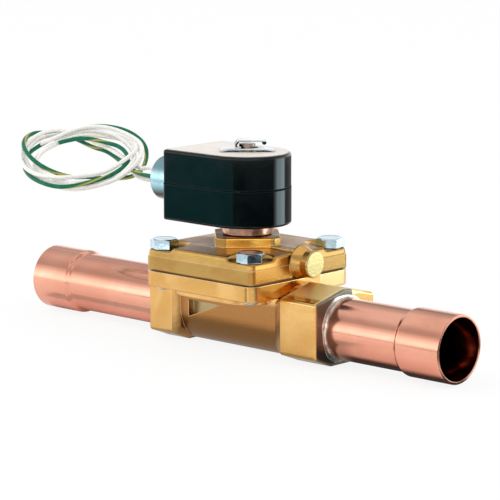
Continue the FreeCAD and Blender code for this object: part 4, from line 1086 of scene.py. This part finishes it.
@dataclass
class LeadBundle:
    """The three leads in their loop of loose turns. Sizes are in millimetres.

    The turn points lie step degrees apart, round the centre in the plane of across and away. The fields
    from clearance on ease the leads apart: how many clearances along itself a lead doesn't see, how many
    points of each span are compared, how many passes there are and how strong each is, and how much of a
    push is across the gap, along the line of sight by its depth, and along it at the least.
    """

    diameter: float = 2.6
    smoothness: int = 10
    roundness: int = 5
    centre: Triple = (-127.0, -10.0, 98.5)
    across: Triple = (0.735, 0.678, 0.0)
    away: Triple = (-0.6195, 0.6714, 0.4067)
    sight: Triple = (0.7227, -0.6784, 0.1347)
    step: float = 30.0
    clearance: float = 3.0
    blind: float = 4.0
    samples: int = 6
    passes: int = 110
    strength: float = 1.8
    apart: float = 0.6
    deeper: float = 0.4
    least: float = 0.15
    leads: list[Lead] = field(default_factory=lambda: [
        Lead("green_wire", Slot.GREEN, ("green_lead",),
             [(-58.0, -2.9, 91.5), (-72.0, -3.2, 91.3), (-88.0, -1.6, 91.6)], 345.0,
             [27.6, 21.8, 19.6, 22.6, 35.0, 43.4, 38.0, 31.0, 25.0, 18.8, 16.6, 22.5, 35.5, 41.8, 40.6,
              37.4, 33.6, 34.4, 37.0, 35.0, 35.2, 38.0, 33.4, 30.2, 31.0, 25.0, 17.4, 16.6, 18.8, 21.0],
             [-2.6, -3.2, -3.6, -4.0, -2.6, 0.0, 2.4, 2.4, 0.0, -3.0, -3.6, -3.8, -2.6, 0.0, 1.4, 1.4,
              -0.6, -2.8, -3.6, -3.2, -1.6, 1.2, 3.0, 1.6, 0.4, 2.4, 3.6, 3.6, 2.6, 1.4], 0.509),
        Lead("white_wire_a", Slot.WHITE, ("white_lead_a", "lead_loop"),
             [(-58.0, 1.45, 94.01), (-73.0, 1.6, 94.3), (-84.0, 3.4, 95.6)], 338.0,
             [38.0, 22.0, 18.6, 22.6, 29.0, 36.6, 40.8, 37.2, 34.2, 30.2, 23.6, 25.0, 30.2, 34.4, 32.4,
              28.0, 23.2, 22.2, 25.2, 28.4, 28.6, 29.2, 32.6, 34.6, 36.4, 37.6, 33.4, 30.0, 26.0, 24.0,
              27.4],
             [0.0, 0.4, 0.2, -0.4, 0.0, 1.8, 1.6, 0.0, 0.4, 1.0, 1.0, 1.0, 1.0, 1.0, 1.0, 1.0, 0.9, 0.6,
              0.4, 0.0, -1.0, -1.4, -1.0, 0.0, 2.0, 3.8, 4.0, 4.0, 3.8, 3.6, 3.6], 0.504),
        Lead("white_wire_b", Slot.WHITE, ("white_lead_b",),
             [(-58.0, 1.45, 88.99), (-73.0, 1.9, 88.9), (-86.0, 1.4, 88.6)], 344.0,
             [33.0, 24.6, 22.4, 26.0, 32.4, 37.0, 37.4, 33.6, 30.6, 28.0, 26.2, 28.4, 33.6, 37.4, 36.0,
              31.4, 27.2, 26.0, 28.2, 30.4, 29.6, 29.0, 30.4, 33.0, 35.0, 33.4, 30.4, 28.0, 27.0, 26.6],
             [-1.6, -2.4, -3.0, -3.0, -2.4, -1.0, -1.2, -2.4, -2.4, -1.8, -1.6, -1.6, -1.6, -1.6, -1.6,
              -1.6, -1.8, -2.2, -2.4, -2.6, -3.0, -3.0, -2.6, -1.6, 0.0, 1.2, 1.4, 1.4, 1.2, 1.0], 0.500),
    ])

    def route(self, lead: Lead) -> np.ndarray:
        """Works out a lead's points: each turn point is the centre plus a radius at its angle and a lift.

        Args:
            lead: the lead.

        Returns:
            Its control points.
        """
        across, away = np.array(self.across), np.array(self.away)
        across, away = across / np.linalg.norm(across), away / np.linalg.norm(away)
        upward = np.cross(across, away)
        angles = np.radians(lead.first_angle + self.step * np.arange(len(lead.radii)))[:, None]
        ring = np.cos(angles) * across + np.sin(angles) * away
        turns = np.array(self.centre) + np.array(lead.radii)[:, None] * ring
        turns = turns + np.array(lead.lifts)[:, None] * upward
        return np.vstack([np.array(lead.start), turns])

    def weights(self, count: int) -> np.ndarray:
        """Works out how much of each control point is in the curve's points, at even steps t of a span.

        The three control points of a span count (1-t)²/2, (1+2t-2t²)/2 and t²/2.

        Args:
            count: how many control points the curve has.

        Returns:
            The shares, by point and by control point.
        """
        place = (np.arange((count - 2) * self.samples) + 0.5) / self.samples
        span = place.astype(int)
        part = place - span
        rows = np.arange(len(place))
        shares = np.zeros((len(place), count))
        shares[rows, span] = (1 - part) ** 2 / 2
        shares[rows, span + 1] = (1 + 2 * part - 2 * part ** 2) / 2
        shares[rows, span + 2] = part ** 2 / 2
        return shares

    def part_strands(self, routes: list[np.ndarray]) -> list[np.ndarray]:
        """Eases the leads apart where they touch, so that they lie beside and over each other.

        Each pass pushes the touching stretches apart, mostly along the line of sight, and shares the
        push among the control points. The two points in and by the grommet stay.

        Args:
            routes: control points of each lead.

        Returns:
            The control points, moved.
        """
        blocks = [self.weights(len(route)) for route in routes]
        edges = np.cumsum([0] + [len(route) for route in routes])
        rows = np.cumsum([0] + [len(block) for block in blocks])
        shares = np.zeros((rows[-1], edges[-1]))
        free = np.ones((edges[-1], 1))
        for block, row, edge in zip(blocks, rows, edges):
            shares[row:row + block.shape[0], edge:edge + block.shape[1]] = block
            free[edge:edge + 2] = 0.0
        spread = shares / shares.sum(axis=0)
        owner = np.repeat(np.arange(len(blocks)), [len(block) for block in blocks])
        rest = np.vstack(routes)
        along = np.cumsum(np.linalg.norm(np.diff(shares @ rest, axis=0, prepend=0), axis=1))
        own = (owner[:, None] == owner) & (np.abs(along[:, None] - along) < self.blind * self.clearance)
        sight = np.array(self.sight)
        moved = rest.copy()
        for _ in range(self.passes):
            points = shares @ moved
            gap = points[:, None] - points
            missing = np.maximum(self.clearance - np.linalg.norm(gap, axis=-1), 0.0)
            missing[own] = 0.0
            depth = gap @ sight
            lean = self.deeper * depth + np.where(depth >= 0, self.least, -self.least)
            away = self.apart * gap + lean[..., None] * sight
            away /= np.linalg.norm(away, axis=-1, keepdims=True)
            touching = np.maximum((missing > 0).sum(axis=1), 1)[:, None]
            push = (away * missing[..., None]).sum(axis=1) / touching
            moved += self.strength * free * (spread.T @ push)
        return [moved[low:high] for low, high in zip(edges, edges[1:])]

    def build(self) -> list[Piece]:
        """Returns:
            The three curve objects.
        """
        finishes = {
            Slot.GREEN: Insulation("green_insulation", (0.001, 0.125, 0.062), (0.002, 0.17, 0.090),
                                   tracer=(0.42, 0.38, 0.08), turns=9.0, share=0.13).build(),
            Slot.WHITE: Insulation("white_insulation", (0.92, 0.91, 0.88), (0.86, 0.84, 0.80)).build()}
        routes = self.part_strands([self.route(lead) for lead in self.leads])
        made = []
        for lead, route in zip(self.leads, routes):
            points = route * MM
            curve = bpy.data.curves.new(lead.name, "CURVE")
            curve.dimensions = "3D"
            curve.bevel_depth = self.diameter / 2 * MM
            curve.bevel_resolution = self.roundness
            curve.use_fill_caps = True
            spline = curve.splines.new("NURBS")
            spline.points.add(len(points) - 1)
            spline.points.foreach_set("co", np.hstack([points, np.ones((len(points), 1))]).ravel())
            spline.order_u = 3
            spline.use_endpoint_u = True
            spline.resolution_u = self.smoothness
            curve.materials.append(finishes[lead.slot])
            wire = add_object(lead.name, curve)
            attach(wire, Body.COIL.value)
            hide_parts(*lead.replaces)
            made.append(wire)
        return made


def dress_nodes(built: dict[str, Material]) -> None:
    """Gives every CAD node that stays its finish.

    Args:
        built: the materials by the name of their finish.
    """
    for name, nodes in FINISHED_NODES.items():
        for mesh in (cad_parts[node].data for node in nodes):
            for index in range(len(mesh.materials)):
                mesh.materials[index] = built[name]
        LOG.info("dressed %s: %s", name, ", ".join(nodes))


def corners(box: tuple[Vector, Vector]) -> list[list[float]]:
    """Turns a box's corners into plain lists."""
    return [list(corner) for corner in box]


def main() -> None:
    """Builds the studio and every sub-assembly."""
    logging.basicConfig(level=logging.INFO, format="%(message)s")
    bpy.context.scene.view_settings.view_transform = "Standard"
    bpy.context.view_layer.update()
    studio = Studio()
    studio.build_camera()
    for wire in LeadBundle().build():
        LOG.info("made %s", wire.name)
    studio.build_world()
    studio.build_floor()
    studio.build_cards()
    studio.build_lamps()
    built = {finish.name: finish.build() for finish in FINISHES}
    dress_nodes(built)
    HexBolts().build(built["zinc"])
    BrazeBead("outlet_braze_ring", side=1).build(built["braze"])
    BrazeBead("inlet_braze_ring", side=-1).build(built["braze"])
    CoilSpring("main_spring", "piston_lift", travel=4.0, wire=1.4, turns=2).build(built["clip_chrome"])
    CoilSpring("core_spring", "plunger_lift", travel=1.8, wire=0.8, turns=5).build(built["clip_chrome"])


if __name__ == "__main__":
    main()
